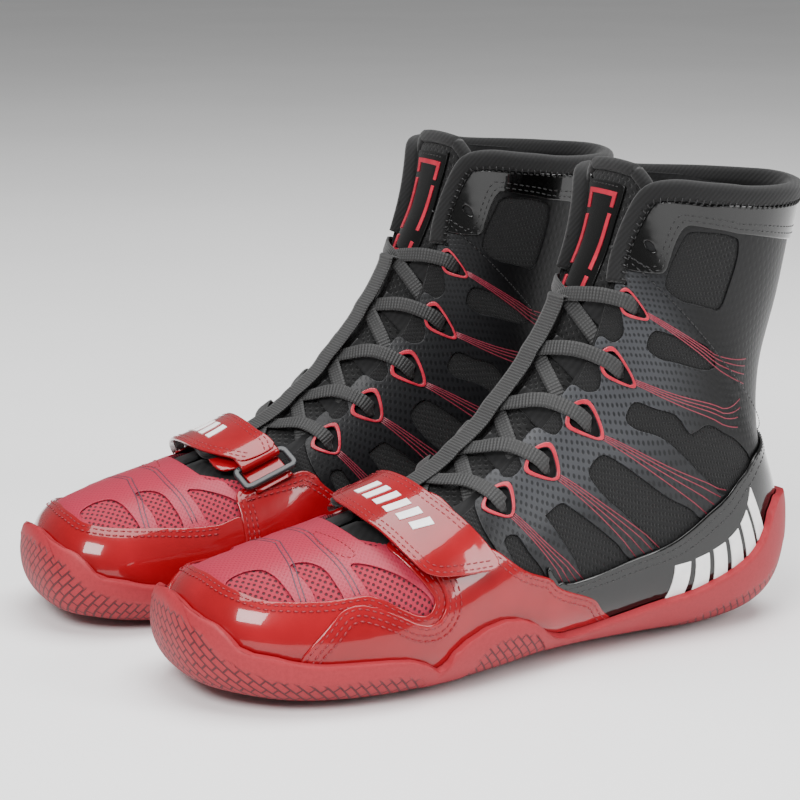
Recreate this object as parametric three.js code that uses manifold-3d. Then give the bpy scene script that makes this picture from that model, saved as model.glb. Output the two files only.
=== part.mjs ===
import * as THREE from 'three';
import Module from 'manifold-3d';

const wasm = await Module();
wasm.setup();

// driving sizes, mm: x heel to toe, y outward side of the left boot, z up
const pairSpacing = 125;       // centre line to centre line
const rightAhead = 17;         // the right boot stands this far in front
const gap = 0.3;               // clearance between neighbouring pieces
const lengthScale = 1;         // foot length
const widthScale = 1;          // foot width
const linerThick = 1.8;        // lining
const puffThick = 0.9;         // toe puff, heel counter, lasting board
const quarterThick = 1.2;      // quarters and vamp
const patentThick = 1.2;       // patent overlays
const soleThick = 3.5;         // outsole wall and bottom
const tongueThick = 4;         // padded tongue
const webThick = 0.8;          // lace keeper, patch, eyestay films
const strapThick = 1;          // strap layers
const hookThick = 1;           // hook and loop layers
const laceWide = 6.4;
const laceThick = 0.9;
const ringBar = 1.1;           // ring bar radius
const ringLong = 27;           // ring outer size along the boot
const bindingHigh = 7;         // collar binding
const tongueHalf = 25;         // tongue half width

// levels: distance out from the last, inner face then outer face
const liner = [0, linerThick];
const puff = [liner[1] + gap, liner[1] + gap + puffThick];
const shell = [puff[1] + gap, puff[1] + gap + quarterThick];
const patent = [shell[1] + gap, shell[1] + gap + patentThick];
const film = [patent[0], patent[0] + webThick];
const sole = [patent[1] + gap, patent[1] + gap + soleThick];
const strapLow = [patent[1] + gap, patent[1] + gap + strapThick];
const loops = [strapLow[1] + gap, strapLow[1] + gap + hookThick];
const barLevel = strapLow[1] + 0.4 + ringBar;
const strapTop = [barLevel + ringBar + 0.4, barLevel + ringBar + 0.4 + strapThick];
const hooks = [loops[1] + gap, strapTop[0] - gap];
const tongue = [-0.4 - tongueThick, -0.4];
const web = [tongue[1] + gap, tongue[1] + gap + webThick];
const laceOver = film[1] + 4.6 * gap + laceThick / 2;
const laceUnder = shell[0] - 1.4 - laceThick / 2;
const laceCross = [web[1] + 2 * gap + laceThick / 2, web[1] + 3.4 * gap + laceThick * 1.5];
const keeper = [laceCross[1] + laceThick / 2 + 4 * gap, laceCross[1] + laceThick / 2 + 4 * gap + webThick];

// rows: crest x z, keel x z, outer half, inner half, centre y, widest share, crest power, keel power
const rows = [
  [278, 27, 278, 27, 0, 0, -6, 0.55, 2.0, 2.0],
  [276, 39, 274, 17, 20, 19, -5, 0.60, 2.0, 2.6],
  [266, 48, 262, 13, 33, 31, -3, 0.62, 2.1, 3.2],
  [243, 54, 243, 10, 41, 38, -1, 0.66, 2.1, 3.6],
  [214, 60, 216, 9, 46, 42, 0, 0.68, 2.1, 3.8],
  [187, 68, 186, 9, 46, 41, 0, 0.68, 2.1, 3.8],
  [163, 79, 158, 9.5, 42, 37, 0, 0.66, 2.1, 3.8],
  [143, 94, 122, 12, 38, 33, 0, 0.64, 2.1, 3.6],
  [126, 112, 80, 11, 36, 33, 0, 0.62, 2.1, 3.2],
  [112, 130, 40, 9, 35, 34, 0, 0.62, 2.1, 2.8],
  [103, 146, 11, 16, 35, 34, 0, 0.58, 2.2, 2.5],
  [96, 160, 3, 42, 35, 34, 0, 0.52, 2.3, 2.2],
  [90, 172, 12, 76, 34, 33, 0, 0.50, 2.4, 2.0],
  [86, 184, 13, 110, 34, 33, 0, 0.48, 2.5, 2.0],
  [83, 196, 5, 146, 37, 36, 0, 0.47, 2.6, 2.0],
  [81, 208, -1, 186, 41, 40, 0, 0.46, 2.7, 2.1],
  [80, 222, -6, 206, 44, 43, 0, 0.46, 2.7, 2.1],
];
const last = rows.length - 1;

function rowAt(t) {
  const i = Math.min(Math.floor(t), last - 1), f = t - i;
  const get = (k) => (k < 0 ? rows[0].map((a, j) => 2 * a - rows[1][j])
    : k > last ? rows[last].map((a, j) => 2 * a - rows[last - 1][j]) : rows[k]);
  const [p, q, r, s] = [get(i - 1), get(i), get(i + 1), get(i + 2)];
  return q.map((b, j) => 0.5 * (2 * b + (r[j] - p[j]) * f
    + (2 * p[j] - 5 * b + 4 * r[j] - s[j]) * f * f + (3 * b - p[j] - 3 * r[j] + s[j]) * f ** 3));
}

// surface of the last: t toe to collar, v -1 inner keel, 0 crest, 1 outer keel
function lastPoint(t, v) {
  const [cx, cz, kx, kz, outer, inner, yc, wide, pc, pk] = rowAt(t);
  const a = Math.abs(v) * Math.PI, up = a <= Math.PI / 2, power = up ? pc : pk;
  const c = Math.abs(Math.cos(a)) ** (2 / power);
  const s = up ? wide * (1 - c) : wide + (1 - wide) * c;
  const y = yc + (v >= 0 ? outer : -inner) * Math.max(Math.sin(a), 0) ** (2 / power);
  return new THREE.Vector3((cx + (kx - cx) * s) * lengthScale, y * widthScale, cz + (kz - cz) * s);
}

function lastNormal(t, v) {
  const e = 1e-3;
  const dt = lastPoint(Math.min(t + e, last), v).sub(lastPoint(Math.max(t - e, 0), v));
  const wrap = (q) => (q > 1 ? q - 2 : q < -1 ? q + 2 : q);
  const dv = lastPoint(t, wrap(v + e)).sub(lastPoint(t, wrap(v - e)));
  return dv.cross(dt).normalize();
}

function off(t, v, h) {
  if (t < 0.05) return lastPoint(0, 0).add(new THREE.Vector3(h, 0, 0));
  return lastPoint(t, v).addScaledVector(lastNormal(t, v), h);
}

function toManifold(points, tris) {
  let volume = 0;
  for (const [a, b, c] of tris) volume += points[a].dot(points[b].clone().cross(points[c]));
  const turned = volume < 0 ? tris.map(([a, b, c]) => [a, c, b]) : tris;
  const mesh = new wasm.Mesh({ numProp: 3,
    vertProperties: new Float32Array(points.flatMap((p) => [p.x, p.y, p.z])),
    triVerts: new Uint32Array(turned.flat()) });
  return new wasm.Manifold(mesh);
}

const stations = [0, 0.5, 1.3, 2.3, 3.6, 5, 6, 7, 8, 9, 10, 11, 12.3, 14, 16];
const around = 16;

// the same surface with the flat facets the bodies have
function facet(t, v, h) {
  const i = Math.max(1, stations.findIndex((q) => q > t) < 0 ? stations.length - 1 : stations.findIndex((q) => q > t));
  const t0 = stations[i - 1], t1 = stations[i];
  const cell = Math.min(Math.floor((v + 1) * around / 2), around - 1);
  const v0 = -1 + (2 * cell) / around, v1 = v0 + 2 / around;
  const a = (t - t0) / (t1 - t0), b = (v - v0) / (v1 - v0);
  const [p00, p10, p11, p01] = [off(t0, v0, h), off(t1, v0, h), off(t1, v1, h), off(t0, v1, h)];
  const p = p00.clone();
  if (a >= b) return p.addScaledVector(p10.clone().sub(p00), a).addScaledVector(p11.clone().sub(p10), b);
  return p.addScaledVector(p01.clone().sub(p00), b).addScaledVector(p11.clone().sub(p01), a);
}

// closed body inside the offset surface
function solid(h, list = stations, count = around) {
  const points = [off(0, 0, h)], tris = [];
  for (const t of list.slice(1)) {
    for (let j = 0; j < count; j++) points.push(off(t, -1 + (2 * j) / count, h));
  }
  const ring = (i, j) => 1 + (i - 1) * count + (j % count);
  const end = list.length - 1;
  for (let j = 0; j < count; j++) {
    tris.push([0, ring(1, j), ring(1, j + 1)]);
    for (let i = 1; i < end; i++) {
      tris.push([ring(i, j), ring(i + 1, j), ring(i + 1, j + 1)]);
      tris.push([ring(i, j), ring(i + 1, j + 1), ring(i, j + 1)]);
    }
  }
  const middle = new THREE.Vector3();
  for (let j = 0; j < count; j++) middle.add(points[ring(end, j)]);
  points.push(middle.divideScalar(count));
  for (let j = 0; j < count; j++) tris.push([ring(end, j), points.length - 1, ring(end, j + 1)]);
  return toManifold(points, tris);
}

const solids = new Map();
function solidAt(h) {
  const key = h.toFixed(3);
  if (!solids.has(key)) solids.set(key, solid(h));
  return solids.get(key);
}
function layer([inner, outer]) {
  return solidAt(outer).subtract(solidAt(inner));
}

// prism across the boot from a side outline of x, z points
function prism(outline, y0 = -90, y1 = 90) {
  const flat = outline.map(([x, z]) => new THREE.Vector2(x * lengthScale, z));
  const caps = THREE.ShapeUtils.triangulateShape(flat, []);
  const points = [y0, y1].flatMap((y) => flat.map((p) => new THREE.Vector3(p.x, y, p.y)));
  const n = flat.length, tris = [];
  const ccw = THREE.ShapeUtils.isClockWise(flat) ? -1 : 1;
  for (const [a, b, c] of caps) tris.push([a, b, c], [n + a, n + c, n + b]);
  for (let i = 0; i < n; i++) {
    const j = (i + 1) % n;
    if (ccw > 0) tris.push([j, i, n + i], [j, n + i, n + j]);
    else tris.push([i, j, n + j], [i, n + j, n + i]);
  }
  if (ccw < 0) {
    for (let i = 0; i < caps.length * 2; i++) tris[i] = [tris[i][0], tris[i][1], tris[i][2]];
  }
  return toManifold(points, tris);
}

// outline points in a local frame, pushed along one of its axes
function localPrism(frame, outline, s0, s1) {
  const flat = outline.map(([u, n]) => new THREE.Vector2(u, n));
  if (THREE.ShapeUtils.isClockWise(flat)) flat.reverse();
  const caps = THREE.ShapeUtils.triangulateShape(flat, []);
  const place = (s, p) => frame.origin.clone().addScaledVector(frame.along, s)
    .addScaledVector(frame.up, p.x).addScaledVector(frame.out, p.y);
  const points = [s0, s1].flatMap((s) => flat.map((p) => place(s, p)));
  const n = flat.length, tris = [];
  for (const [a, b, c] of caps) tris.push([a, b, c], [n + a, n + c, n + b]);
  for (let i = 0; i < n; i++) {
    const j = (i + 1) % n;
    tris.push([j, i, n + i], [j, n + i, n + j]);
  }
  return toManifold(points, tris);
}

const shift = (list, dx, dz) => list.map(([x, z]) => [x + dx, z + dz]);

// side outlines, x z
const feather = [[300, 22], [284, 19.5], [274, 15.5], [262, 11.5], [243, 8.5], [216, 7], [158, 7.6],
  [122, 9.8], [80, 9], [40, 7.4], [14, 10], [-4, 15], [-40, 22]];
const above = (lift) => [...shift(feather, 0, lift), [-40, 260], [300, 260]];
const below = (lift) => [...shift(feather, 0, lift), [-40, -20], [300, -20]];
const soleEdge = [[300, 40], [284, 39], [277, 33], [270, 26], [255, 22], [237, 20], [194, 17],
  [186, 13], [181, 8.6], [176, 13], [171, 20], [165, 26], [158, 29], [150, 29], [142, 25],
  [132, 15], [124, 11.2], [110, 12], [97, 13.5], [52, 21], [20, 30], [10, 40], [4, 54],
  [-3, 66], [-40, 66]];
const throatHalf = 22;         // half the gap between the quarters
const throatSide = [[190, 110], [174, 60], [168, 66], [150, 68], [125, 88], [100, 112], [84, 138],
  [70, 168], [58, 190], [58, 235], [150, 235]];
const vampBack = [[178, 100], [168, 0]];
const collarTop = [[-40, 194], [-6, 196], [24, 198], [63, 203], [78, 199], [87, 189], [110, 184]];
const bandLow = [[-40, 177], [-6, 177], [24, 178.5], [55, 184], [64, 184], [69, 181], [72, 172],
  [77, 165], [83, 163], [90, 166], [110, 170]];
const foxTop = [[127, 36], [105, 36.5], [88, 38], [72, 45], [57.5, 55], [47, 66], [40, 76], [31.6, 88],
  [14, 96], [-40, 98]];
const panelBack = [[158, 54], [144, 44.5], [130, 36.5], [97, 14], [90, 2]];
const vampCorner = [[194, 62], [189, 50], [187, 41], [194, 34.5], [208, 40], [223, 41.5], [240, 32.5],
  [249, 20], [251, 2]];
const guardTop = [[203, 38], [216, 40], [232, 38.5], [247, 38], [262, 43], [271, 47], [300, 49]];

const box = (x0, x1, y0, y1, z0, z1) => prism([[x0, z0], [x1, z0], [x1, z1], [x0, z1]], y0, y1);
const throatCut = prism(throatSide, -throatHalf, throatHalf);
const laceZone = [[190, 110], [174, 60], [166, 60], [150, 61], [121, 75], [99, 96], [84, 122], [77, 150], [77, 159],
  [90, 162], [150, 162]];
const half = { lateral: [gap / 2, 90], medial: [-90, -gap / 2] };

// lower stack and linings
const ground = box(-60, 340, -90, 90, 0, 80);
const outsole = layer(sole).intersect(prism([...soleEdge, [-40, -20], [300, -20]])).intersect(ground);
const midsole = layer([shell[0], patent[1]]).intersect(prism(below(-gap)));
const lastingBoard = layer(puff).intersect(prism(below(1.5)));
const sockLiner = layer([-3.6, -gap]).intersect(prism(below(5.5))).intersect(box(22, 252, -90, 90, 0, 80));
const toePuff = layer(puff).intersect(prism([[300, 24], [262, 18], [246, 17], [243, 24], [246, 58], [300, 70]]));
const heelCounter = layer(puff).intersect(prism([[62, 15], [40, 12.5], [12, 15], [-40, 28], [-40, 82], [22, 78],
  [44, 52], [62, 30]]));
const rim = (drop) => [...shift(collarTop, 0, -drop), [110, -20], [-40, -20]];
const lining = layer(liner).intersect(prism(rim(bindingHigh + gap)
  .slice(0, -2).concat([[300, 184 - bindingHigh], [300, -20], [-40, -20]])))
  .subtract(throatCut).subtract(prism(laceZone, -36, 36));

// uppers
const upper = layer(shell).intersect(prism(above(0)))
  .intersect(prism(rim(bindingHigh + gap).slice(0, -2)
    .concat([[300, 184 - bindingHigh], [300, -20], [-40, -20]])));
const vamp = upper.intersect(prism([[vampBack[0][0] + gap, 100], [vampBack[1][0] + gap, 0], [300, 0], [300, 100]]));
const behindVamp = prism([vampBack[0], vampBack[1], [-40, 0], [-40, 240], [178, 240]]);
const quarters = upper.intersect(behindVamp).subtract(throatCut);

// eyelets: stations up the throat, share of the way round
const eyeletRows = [6.5, 7.47, 8.5, 9.75, 11.2];
const eyeletTurn = 0.262;
const edgeTurn = 0.185;
function frameAt(t, v, h) {
  const out = lastNormal(t, v);
  const along = lastPoint(t - 0.2, v).sub(lastPoint(t + 0.2, v));
  along.addScaledVector(out, -along.dot(out)).normalize();
  const up = along.clone().cross(out).normalize();
  if (up.dot(lastPoint(t, 0).sub(lastPoint(t, v))) < 0) up.negate();
  return { origin: facet(t, v, h), out, along, up };
}
let slots = null;
for (const side of [1, -1]) {
  for (const t of eyeletRows) {
    const frame = frameAt(t, side * eyeletTurn, laceOver);
    const slot = localPrism(frame, [[-5.4, -7], [4.2, -7], [4.2, 3], [-5.4, 3]], -4.7, 4.7);
    slots = slots ? slots.add(slot) : slot;
  }
}
const eyestayOutline = [[171, 64], [160, 60], [139, 71.5], [118, 88], [98, 111], [84, 140], [77, 158],
  [90, 161.5], [120, 161.5], [190, 110]];
const eyestays = layer(film).intersect(prism(eyestayOutline)).subtract(throatCut);
const strapZone = prism([[172, 20], [164, 44], [166, 58], [172, 68], [176, 100], [240, 100], [240, 20]]);

const overlays = layer(patent).intersect(prism(above(0)));
const lateralOutline = [...vampCorner, ...panelBack.slice().reverse(), [166, 60], [174, 66]];
const lateralPanel = overlays.intersect(prism(lateralOutline, ...half.lateral));
const medialOutline = [[203, 2], [203, 38], [199, 50], [180, 57], ...panelBack];
const medialPanel = overlays.intersect(prism(medialOutline, ...half.medial));
const guardOutline = [...guardTop, [300, -5], [203, -5]];
const guardWhole = overlays.intersect(prism(guardOutline));
const toeGuard = guardWhole.subtract(prism(shift(lateralOutline, gap, 0), -2, 90))
  .subtract(box(-60, 251, gap, 90, -5, 32)).subtract(prism([[190, 60], [232, 60], [240.4, 32.4], [190, 30]], 0, 90))
  .subtract(box(-60, 203 + gap, -90, 4, -5, 80));
const foxFront = [[127 - gap, 36], [95 - gap, 13.5], [88 - gap, 2], [-40, 2]];
const heelFoxing = overlays.intersect(prism([...foxTop.slice().reverse(), ...foxFront]));
const collarOutline = [...shift(collarTop, 0, -bindingHigh - gap), ...bandLow.slice().reverse()];
const collarBand = layer(patent).intersect(prism(collarOutline)).subtract(throatCut);
const collarBinding = layer([-0.2, patent[1] + 0.4])
  .intersect(prism([...collarTop, ...shift(collarTop, 0, -bindingHigh).reverse()])).subtract(throatCut);
const backStrip = overlays.intersect(prism([[-40, 98.4], [14, 96.4], [30, 96.4], [30, 176.6], [-40, 176.6]]))
  .intersect(box(-60, 60, -7, 7, 90, 200));
const eyestaySide = (s) => eyestays.intersect(box(-60, 300, ...half[s], 0, 260))
  .subtract(slots).subtract(strapZone);

// tongue with its patch and lace keeper
const tongueOutline = [[196, 40], [150, 55], [120, 78], [88, 118], [70, 160], [60, 190], [56, 211], [110, 213],
  [110, 230], [230, 120]];
const tongueBody = layer(tongue).intersect(prism(tongueOutline))
  .intersect(box(-60, 300, -tongueHalf, tongueHalf, 30, 212));
const patch = layer(web).intersect(prism([[60, 156], [130, 156], [130, 202], [60, 202]]))
  .intersect(box(-60, 300, -10, 10, 30, 260));
const webbing = layer(keeper).intersect(prism([[174, 60], [174, 110], [130, 155.7], [60, 155.7], [60, 60]]))
  .intersect(box(-60, 300, -5.6, 5.6, 60, 260));

// one lace, up both sides: route points are station, turn, level
const foldTurn = 2 / around;   // a crease line of the facets, near the throat edge
function laceRoute() {
  const top = eyeletRows.length - 1;
  const throughEyelet = (i, s, lean) => [
    [eyeletRows[i] + lean, s * foldTurn, laceUnder], [eyeletRows[i], s * (eyeletTurn - 0.03), laceUnder],
    [eyeletRows[i], s * (eyeletTurn + 0.008), (laceOver + laceUnder) / 2],
    [eyeletRows[i], s * (eyeletTurn - 0.03), laceOver], [eyeletRows[i] - lean, s * foldTurn, laceOver + gap]];
  const strand = (start, level) => {
    const list = [];
    let s = start;
    for (let i = top; i >= 0; i--) {
      list.push(...throughEyelet(i, s, 0.25));
      if (i > 0) {
        const t = (eyeletRows[i] + eyeletRows[i - 1]) / 2;
        list.push([t + 0.16, s * 0.042, level], [t, 0, level], [t - 0.16, -s * 0.042, level]);
      }
      s = -s;
    }
    return list;
  };
  const bottom = [eyeletRows[0] - 0.3, 0, laceCross[0]];
  return [...strand(1, laceCross[0]), bottom, ...strand(-1, laceCross[1]).reverse()];
}
function ribbon(route) {
  const spots = route.map(([t, v, h]) => facet(t, v, h));
  const points = [], tris = [];
  let thick = null;
  spots.forEach((p, i) => {
    const normal = lastNormal(route[i][0], route[i][1]);
    const into = p.clone().sub(spots[Math.max(i - 1, 0)]), away = spots[Math.min(i + 1, spots.length - 1)].clone().sub(p);
    if (i === 0) into.copy(away);
    if (i === spots.length - 1) away.copy(into);
    const level = (q) => q.clone().addScaledVector(normal, -q.dot(normal)).normalize();
    const flip = level(into).dot(level(away)) < 0;
    const heading = flip ? away.clone().normalize().sub(into.clone().normalize()).negate() : into.clone().normalize()
      .add(away.clone().normalize());
    const wide = normal.clone().cross(level(flip ? into : heading)).normalize();
    const path = into.clone().normalize().add(away.clone().normalize()).normalize();
    const across = path.clone().cross(wide).normalize();
    if (thick && across.dot(thick) < 0) across.negate();
    thick = across.clone();
    points.push([p, wide, across]);
  });
  let side = null;
  const corners = points.flatMap(([p, wide, across]) => {
    if (side && wide.dot(side) < 0) wide.negate();
    side = wide;
    return [[-1, -1], [1, -1], [1, 1], [-1, 1]].map(([u, n]) => p.clone()
      .addScaledVector(wide, u * laceWide / 2).addScaledVector(across, n * laceThick / 2));
  });
  const n = spots.length;
  for (let i = 0; i < n - 1; i++) {
    for (let k = 0; k < 4; k++) {
      const a = 4 * i + k, b = 4 * i + ((k + 1) % 4);
      tris.push([a, b, b + 4], [a, b + 4, a + 4]);
    }
  }
  const e = 4 * (n - 1);
  tris.push([0, 2, 1], [0, 3, 2], [e, e + 1, e + 2], [e, e + 2, e + 3]);
  return [corners, tris];
}
const [lacePoints, laceTris] = ribbon(laceRoute());
const lace = toManifold(lacePoints, laceTris);
const quarter = (s) => quarters.intersect(box(-60, 300, ...half[s], 0, 260)).subtract(slots);

// strap, ring and its tab
const ringSpot = { t: 5.12, v: -0.196 };
const ringDrop = 10.6;         // bar to bar
const ringFrame = frameAt(ringSpot.t, ringSpot.v, barLevel);
const lowBar = ringFrame.origin.clone().addScaledVector(ringFrame.up, -ringDrop);
function circle(radius, count, u0 = 0, n0 = 0, from = 0, to = 2 * Math.PI) {
  const full = to - from > 6.28;
  return Array.from({ length: full ? count : count + 1 }, (_, i) => {
    const a = from + ((to - from) * i) / count;
    return [u0 + radius * Math.cos(a), n0 + radius * Math.sin(a)];
  });
}
function bar(frame, u, s0, s1) {
  return localPrism(frame, circle(ringBar, 10, u, 0), s0, s1);
}
const ringWide = { origin: ringFrame.origin, along: ringFrame.up, up: ringFrame.along, out: ringFrame.out };
const ringSide = (s) => localPrism(ringWide, [[s - ringBar, -ringBar], [s + ringBar, -ringBar],
  [s + ringBar, ringBar], [s - ringBar, ringBar]], -ringDrop - ringBar * 0.98, ringBar * 0.98);
const ringHalf = ringLong / 2 - ringBar;
const ring = bar(ringFrame, 0, -ringHalf, ringHalf).add(bar(ringFrame, -ringDrop, -ringHalf, ringHalf))
  .add(ringSide(-ringHalf)).add(ringSide(ringHalf));
const foldIn = ringBar + 0.4, foldOut = foldIn + strapThick, foldHalf = ringHalf - ringBar - 0.5;
const rad = Math.PI / 180;
const foldOutline = [...circle(foldOut, 8, 0, 0, 90 * rad, 200 * rad),
  ...circle(foldIn, 8, 0, 0, 90 * rad, 200 * rad).reverse()];
const fold = localPrism(ringFrame, foldOutline, -foldHalf, foldHalf)
  .add(localPrism(ringFrame, [[-0.01, foldIn], [4.5, foldIn], [4.5, foldOut], [-0.01, foldOut]], -foldHalf, foldHalf));
const tabOutline = [...circle(foldOut, 10, -ringDrop, 0, -90 * rad, -270 * rad),
  ...circle(foldOut, 4, -ringDrop, 0, 88 * rad, 60 * rad)];
const tabFrame = { ...ringFrame, origin: lowBar };
const tabRing = localPrism(tabFrame, circle(foldOut, 16), -foldHalf + 1.5, foldHalf - 1.5)
  .add(localPrism(tabFrame, [[-1.5, foldOut - 0.2], [-9.5, -1.3], [-9.5, -foldOut], [0, -foldOut]],
    -foldHalf + 1.5, foldHalf - 1.5))
  .subtract(localPrism(tabFrame, circle(foldIn, 12), -20, 20));
const beyondBar = (u) => localPrism(ringFrame, [[u, -40], [u, 40], [-80, 40], [-80, -40]], -60, 60);
const strapCut = (low) => {
  const outer = low ? [[198, 96], [203, 64], [197, 56], [188, 50], [166, 44], [160, 50], [163, 58], [170, 68], [174, 96]]
    : [[200, 98], [206, 64], [200, 56], [190, 49], [161, 45.5], [156, 50], [160, 58], [168, 68], [172, 98]];
  const inner = low ? [[198, 96], [198, 40], [174, 40], [174, 96]] : [[200, 98], [200, 40], [173, 40], [173, 98]];
  return prism(outer, -0.01, 90).add(prism(inner, -90, 0));
};
const strapBase = layer(strapLow).intersect(strapCut(true))
  .subtract(beyondBar(Math.sqrt(foldOut ** 2 - foldIn ** 2) + 0.4));
const strapFlap = layer(strapTop).intersect(strapCut(false)).subtract(beyondBar(3)).add(fold);
const lateralBit = (zone) => prism(zone, 14, 90);
const loopZone = [[194, 90], [199, 62], [190, 53.5], [168, 48], [164, 50], [167, 58], [175, 68], [178, 90]];
const loopPatch = layer(loops).intersect(lateralBit(loopZone));
const hookPatch = layer(hooks).intersect(lateralBit(loopZone));

const colours = { rubber: '#a8323c', patentRed: '#9c1420', patentBlack: '#0a0a0b', film: '#1b1b1d', mesh: '#8d1830',
  foam: '#d8d4cc', board: '#c9b48c', textile: '#141416', hard: '#26272a', stiff: '#cfcac0' };
const pieces = [
  ['outsole', outsole, 'rubber'], ['midsole', midsole, 'foam'], ['lasting_board', lastingBoard, 'board'],
  ['sock_liner', sockLiner, 'textile'], ['toe_puff', toePuff, 'stiff'], ['heel_counter', heelCounter, 'stiff'],
  ['lining', lining, 'textile'], ['vamp', vamp, 'mesh'], ['toe_guard', toeGuard, 'patentRed'],
  ['lateral_panel', lateralPanel, 'patentRed'], ['medial_panel', medialPanel, 'patentRed'],
  ['quarter_lateral', quarter('lateral'), 'film'], ['quarter_medial', quarter('medial'), 'film'],
  ['eyestay_lateral', eyestaySide('lateral'), 'film'], ['eyestay_medial', eyestaySide('medial'), 'film'],
  ['heel_foxing', heelFoxing, 'patentBlack'], ['collar_band', collarBand, 'patentBlack'],
  ['collar_binding', collarBinding, 'textile'], ['back_strip', backStrip, 'patentBlack'],
  ['tongue', tongueBody, 'textile'], ['tongue_patch', patch, 'patentBlack'], ['tongue_webbing', webbing, 'textile'],
  ['lace', lace, 'textile'], ['strap_base', strapBase, 'patentRed'], ['loop_patch', loopPatch, 'textile'],
  ['strap_flap', strapFlap, 'patentRed'], ['hook_patch', hookPatch, 'textile'], ['ring', ring, 'hard'],
  ['ring_tab', tabRing, 'textile'],
];

function toMesh(name, body, colour) {
  const data = body.getMesh();
  const geometry = new THREE.BufferGeometry();
  const step = data.numProp, count = data.vertProperties.length / step;
  const position = new Float32Array(count * 3);
  for (let i = 0; i < count; i++) for (let k = 0; k < 3; k++) position[3 * i + k] = data.vertProperties[step * i + k];
  geometry.setAttribute('position', new THREE.BufferAttribute(position, 3));
  geometry.setIndex(new THREE.BufferAttribute(new Uint32Array(data.triVerts), 1));
  const mesh = new THREE.Mesh(geometry, new THREE.MeshStandardMaterial({ color: colours[colour], roughness: 0.5 }));
  mesh.name = name;
  return mesh;
}

const group = new THREE.Group();
const leftBoot = new THREE.Group(), rightBoot = new THREE.Group();
for (const [name, body, colour] of pieces) {
  leftBoot.add(toMesh(`left_${name}`, body, colour));
  rightBoot.add(toMesh(`right_${name}`, body, colour));
}
leftBoot.position.set(0, pairSpacing / 2, 0);
rightBoot.position.set(rightAhead, -pairSpacing / 2, 0);
rightBoot.scale.set(1, -1, 1);
group.add(leftBoot, rightBoot);
group.updateMatrixWorld(true);
const extent = new THREE.Box3().setFromObject(group, true);
const centre = extent.getCenter(new THREE.Vector3());
for (const boot of [leftBoot, rightBoot]) boot.position.sub(new THREE.Vector3(centre.x, centre.y, extent.min.z));
group.updateMatrixWorld(true);

export default group;
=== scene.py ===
import math
import bmesh
import bpy
import numpy as np
from mathutils import Matrix, Vector
from mathutils.kdtree import KDTree


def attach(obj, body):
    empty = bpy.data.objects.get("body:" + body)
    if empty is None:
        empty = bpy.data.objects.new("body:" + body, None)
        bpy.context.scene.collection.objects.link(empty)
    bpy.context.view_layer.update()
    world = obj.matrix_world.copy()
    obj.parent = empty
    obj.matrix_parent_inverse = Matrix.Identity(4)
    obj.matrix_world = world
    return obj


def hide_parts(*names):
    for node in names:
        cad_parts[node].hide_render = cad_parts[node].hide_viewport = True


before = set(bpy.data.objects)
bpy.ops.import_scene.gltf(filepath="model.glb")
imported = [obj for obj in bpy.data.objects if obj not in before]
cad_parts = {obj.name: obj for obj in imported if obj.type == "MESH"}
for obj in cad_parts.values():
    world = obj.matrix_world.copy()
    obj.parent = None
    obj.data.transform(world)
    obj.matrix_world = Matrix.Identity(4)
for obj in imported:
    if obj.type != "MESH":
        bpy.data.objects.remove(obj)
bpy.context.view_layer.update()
print("frame loaded")

# the last, rows from toe to collar, mm: crest x z, keel x z, outer half, inner half, centre y, widest share, two powers
lastRows = np.array([
    [278, 27, 278, 27, 0, 0, -6, .55, 2, 2], [276, 39, 274, 17, 20, 19, -5, .60, 2, 2.6],
    [266, 48, 262, 13, 33, 31, -3, .62, 2.1, 3.2], [243, 54, 243, 10, 41, 38, -1, .66, 2.1, 3.6],
    [214, 60, 216, 9, 46, 42, 0, .68, 2.1, 3.8], [187, 68, 186, 9, 46, 41, 0, .68, 2.1, 3.8],
    [163, 79, 158, 9.5, 42, 37, 0, .66, 2.1, 3.8], [143, 94, 122, 12, 38, 33, 0, .64, 2.1, 3.6],
    [126, 112, 80, 11, 36, 33, 0, .62, 2.1, 3.2], [112, 130, 40, 9, 35, 34, 0, .62, 2.1, 2.8],
    [103, 146, 11, 16, 35, 34, 0, .58, 2.2, 2.5], [96, 160, 3, 42, 35, 34, 0, .52, 2.3, 2.2],
    [90, 172, 12, 76, 34, 33, 0, .50, 2.4, 2], [86, 184, 13, 110, 34, 33, 0, .48, 2.5, 2],
    [83, 196, 5, 146, 37, 36, 0, .47, 2.6, 2], [81, 208, -1, 186, 41, 40, 0, .46, 2.7, 2.1],
    [80, 222, -6, 206, 44, 43, 0, .46, 2.7, 2.1]])
endRow = len(lastRows) - 1
paddedRows = np.vstack([2 * lastRows[:1] - lastRows[1:2], lastRows, 2 * lastRows[-1:] - lastRows[-2:-1]])
stand = {"x": 147.094, "y": 62.5, "rightAhead": 17}


def lastPoint(t, v):
    i = np.clip(np.floor(t).astype(int), 0, endRow - 1)
    f = (t - i)[:, None]
    p, q, r, s = (paddedRows[i + k] for k in range(4))
    row = .5 * (2 * q + (r - p) * f + (2 * p - 5 * q + 4 * r - s) * f ** 2 + (3 * q - p - 3 * r + s) * f ** 3)
    cx, cz, kx, kz, outer, inner, yc, wide, pc, pk = row.T
    v = (v + 1) % 2 - 1
    a = np.abs(v) * np.pi
    up = a <= np.pi / 2
    power = np.where(up, pc, pk)
    c = np.abs(np.cos(a)) ** (2 / power)
    share = np.where(up, wide * (1 - c), wide + (1 - wide) * c)
    y = yc + np.where(v >= 0, outer, -inner) * np.maximum(np.sin(a), 0) ** (2 / power)
    return np.stack([cx + (kx - cx) * share, y, cz + (kz - cz) * share], 1)


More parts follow.
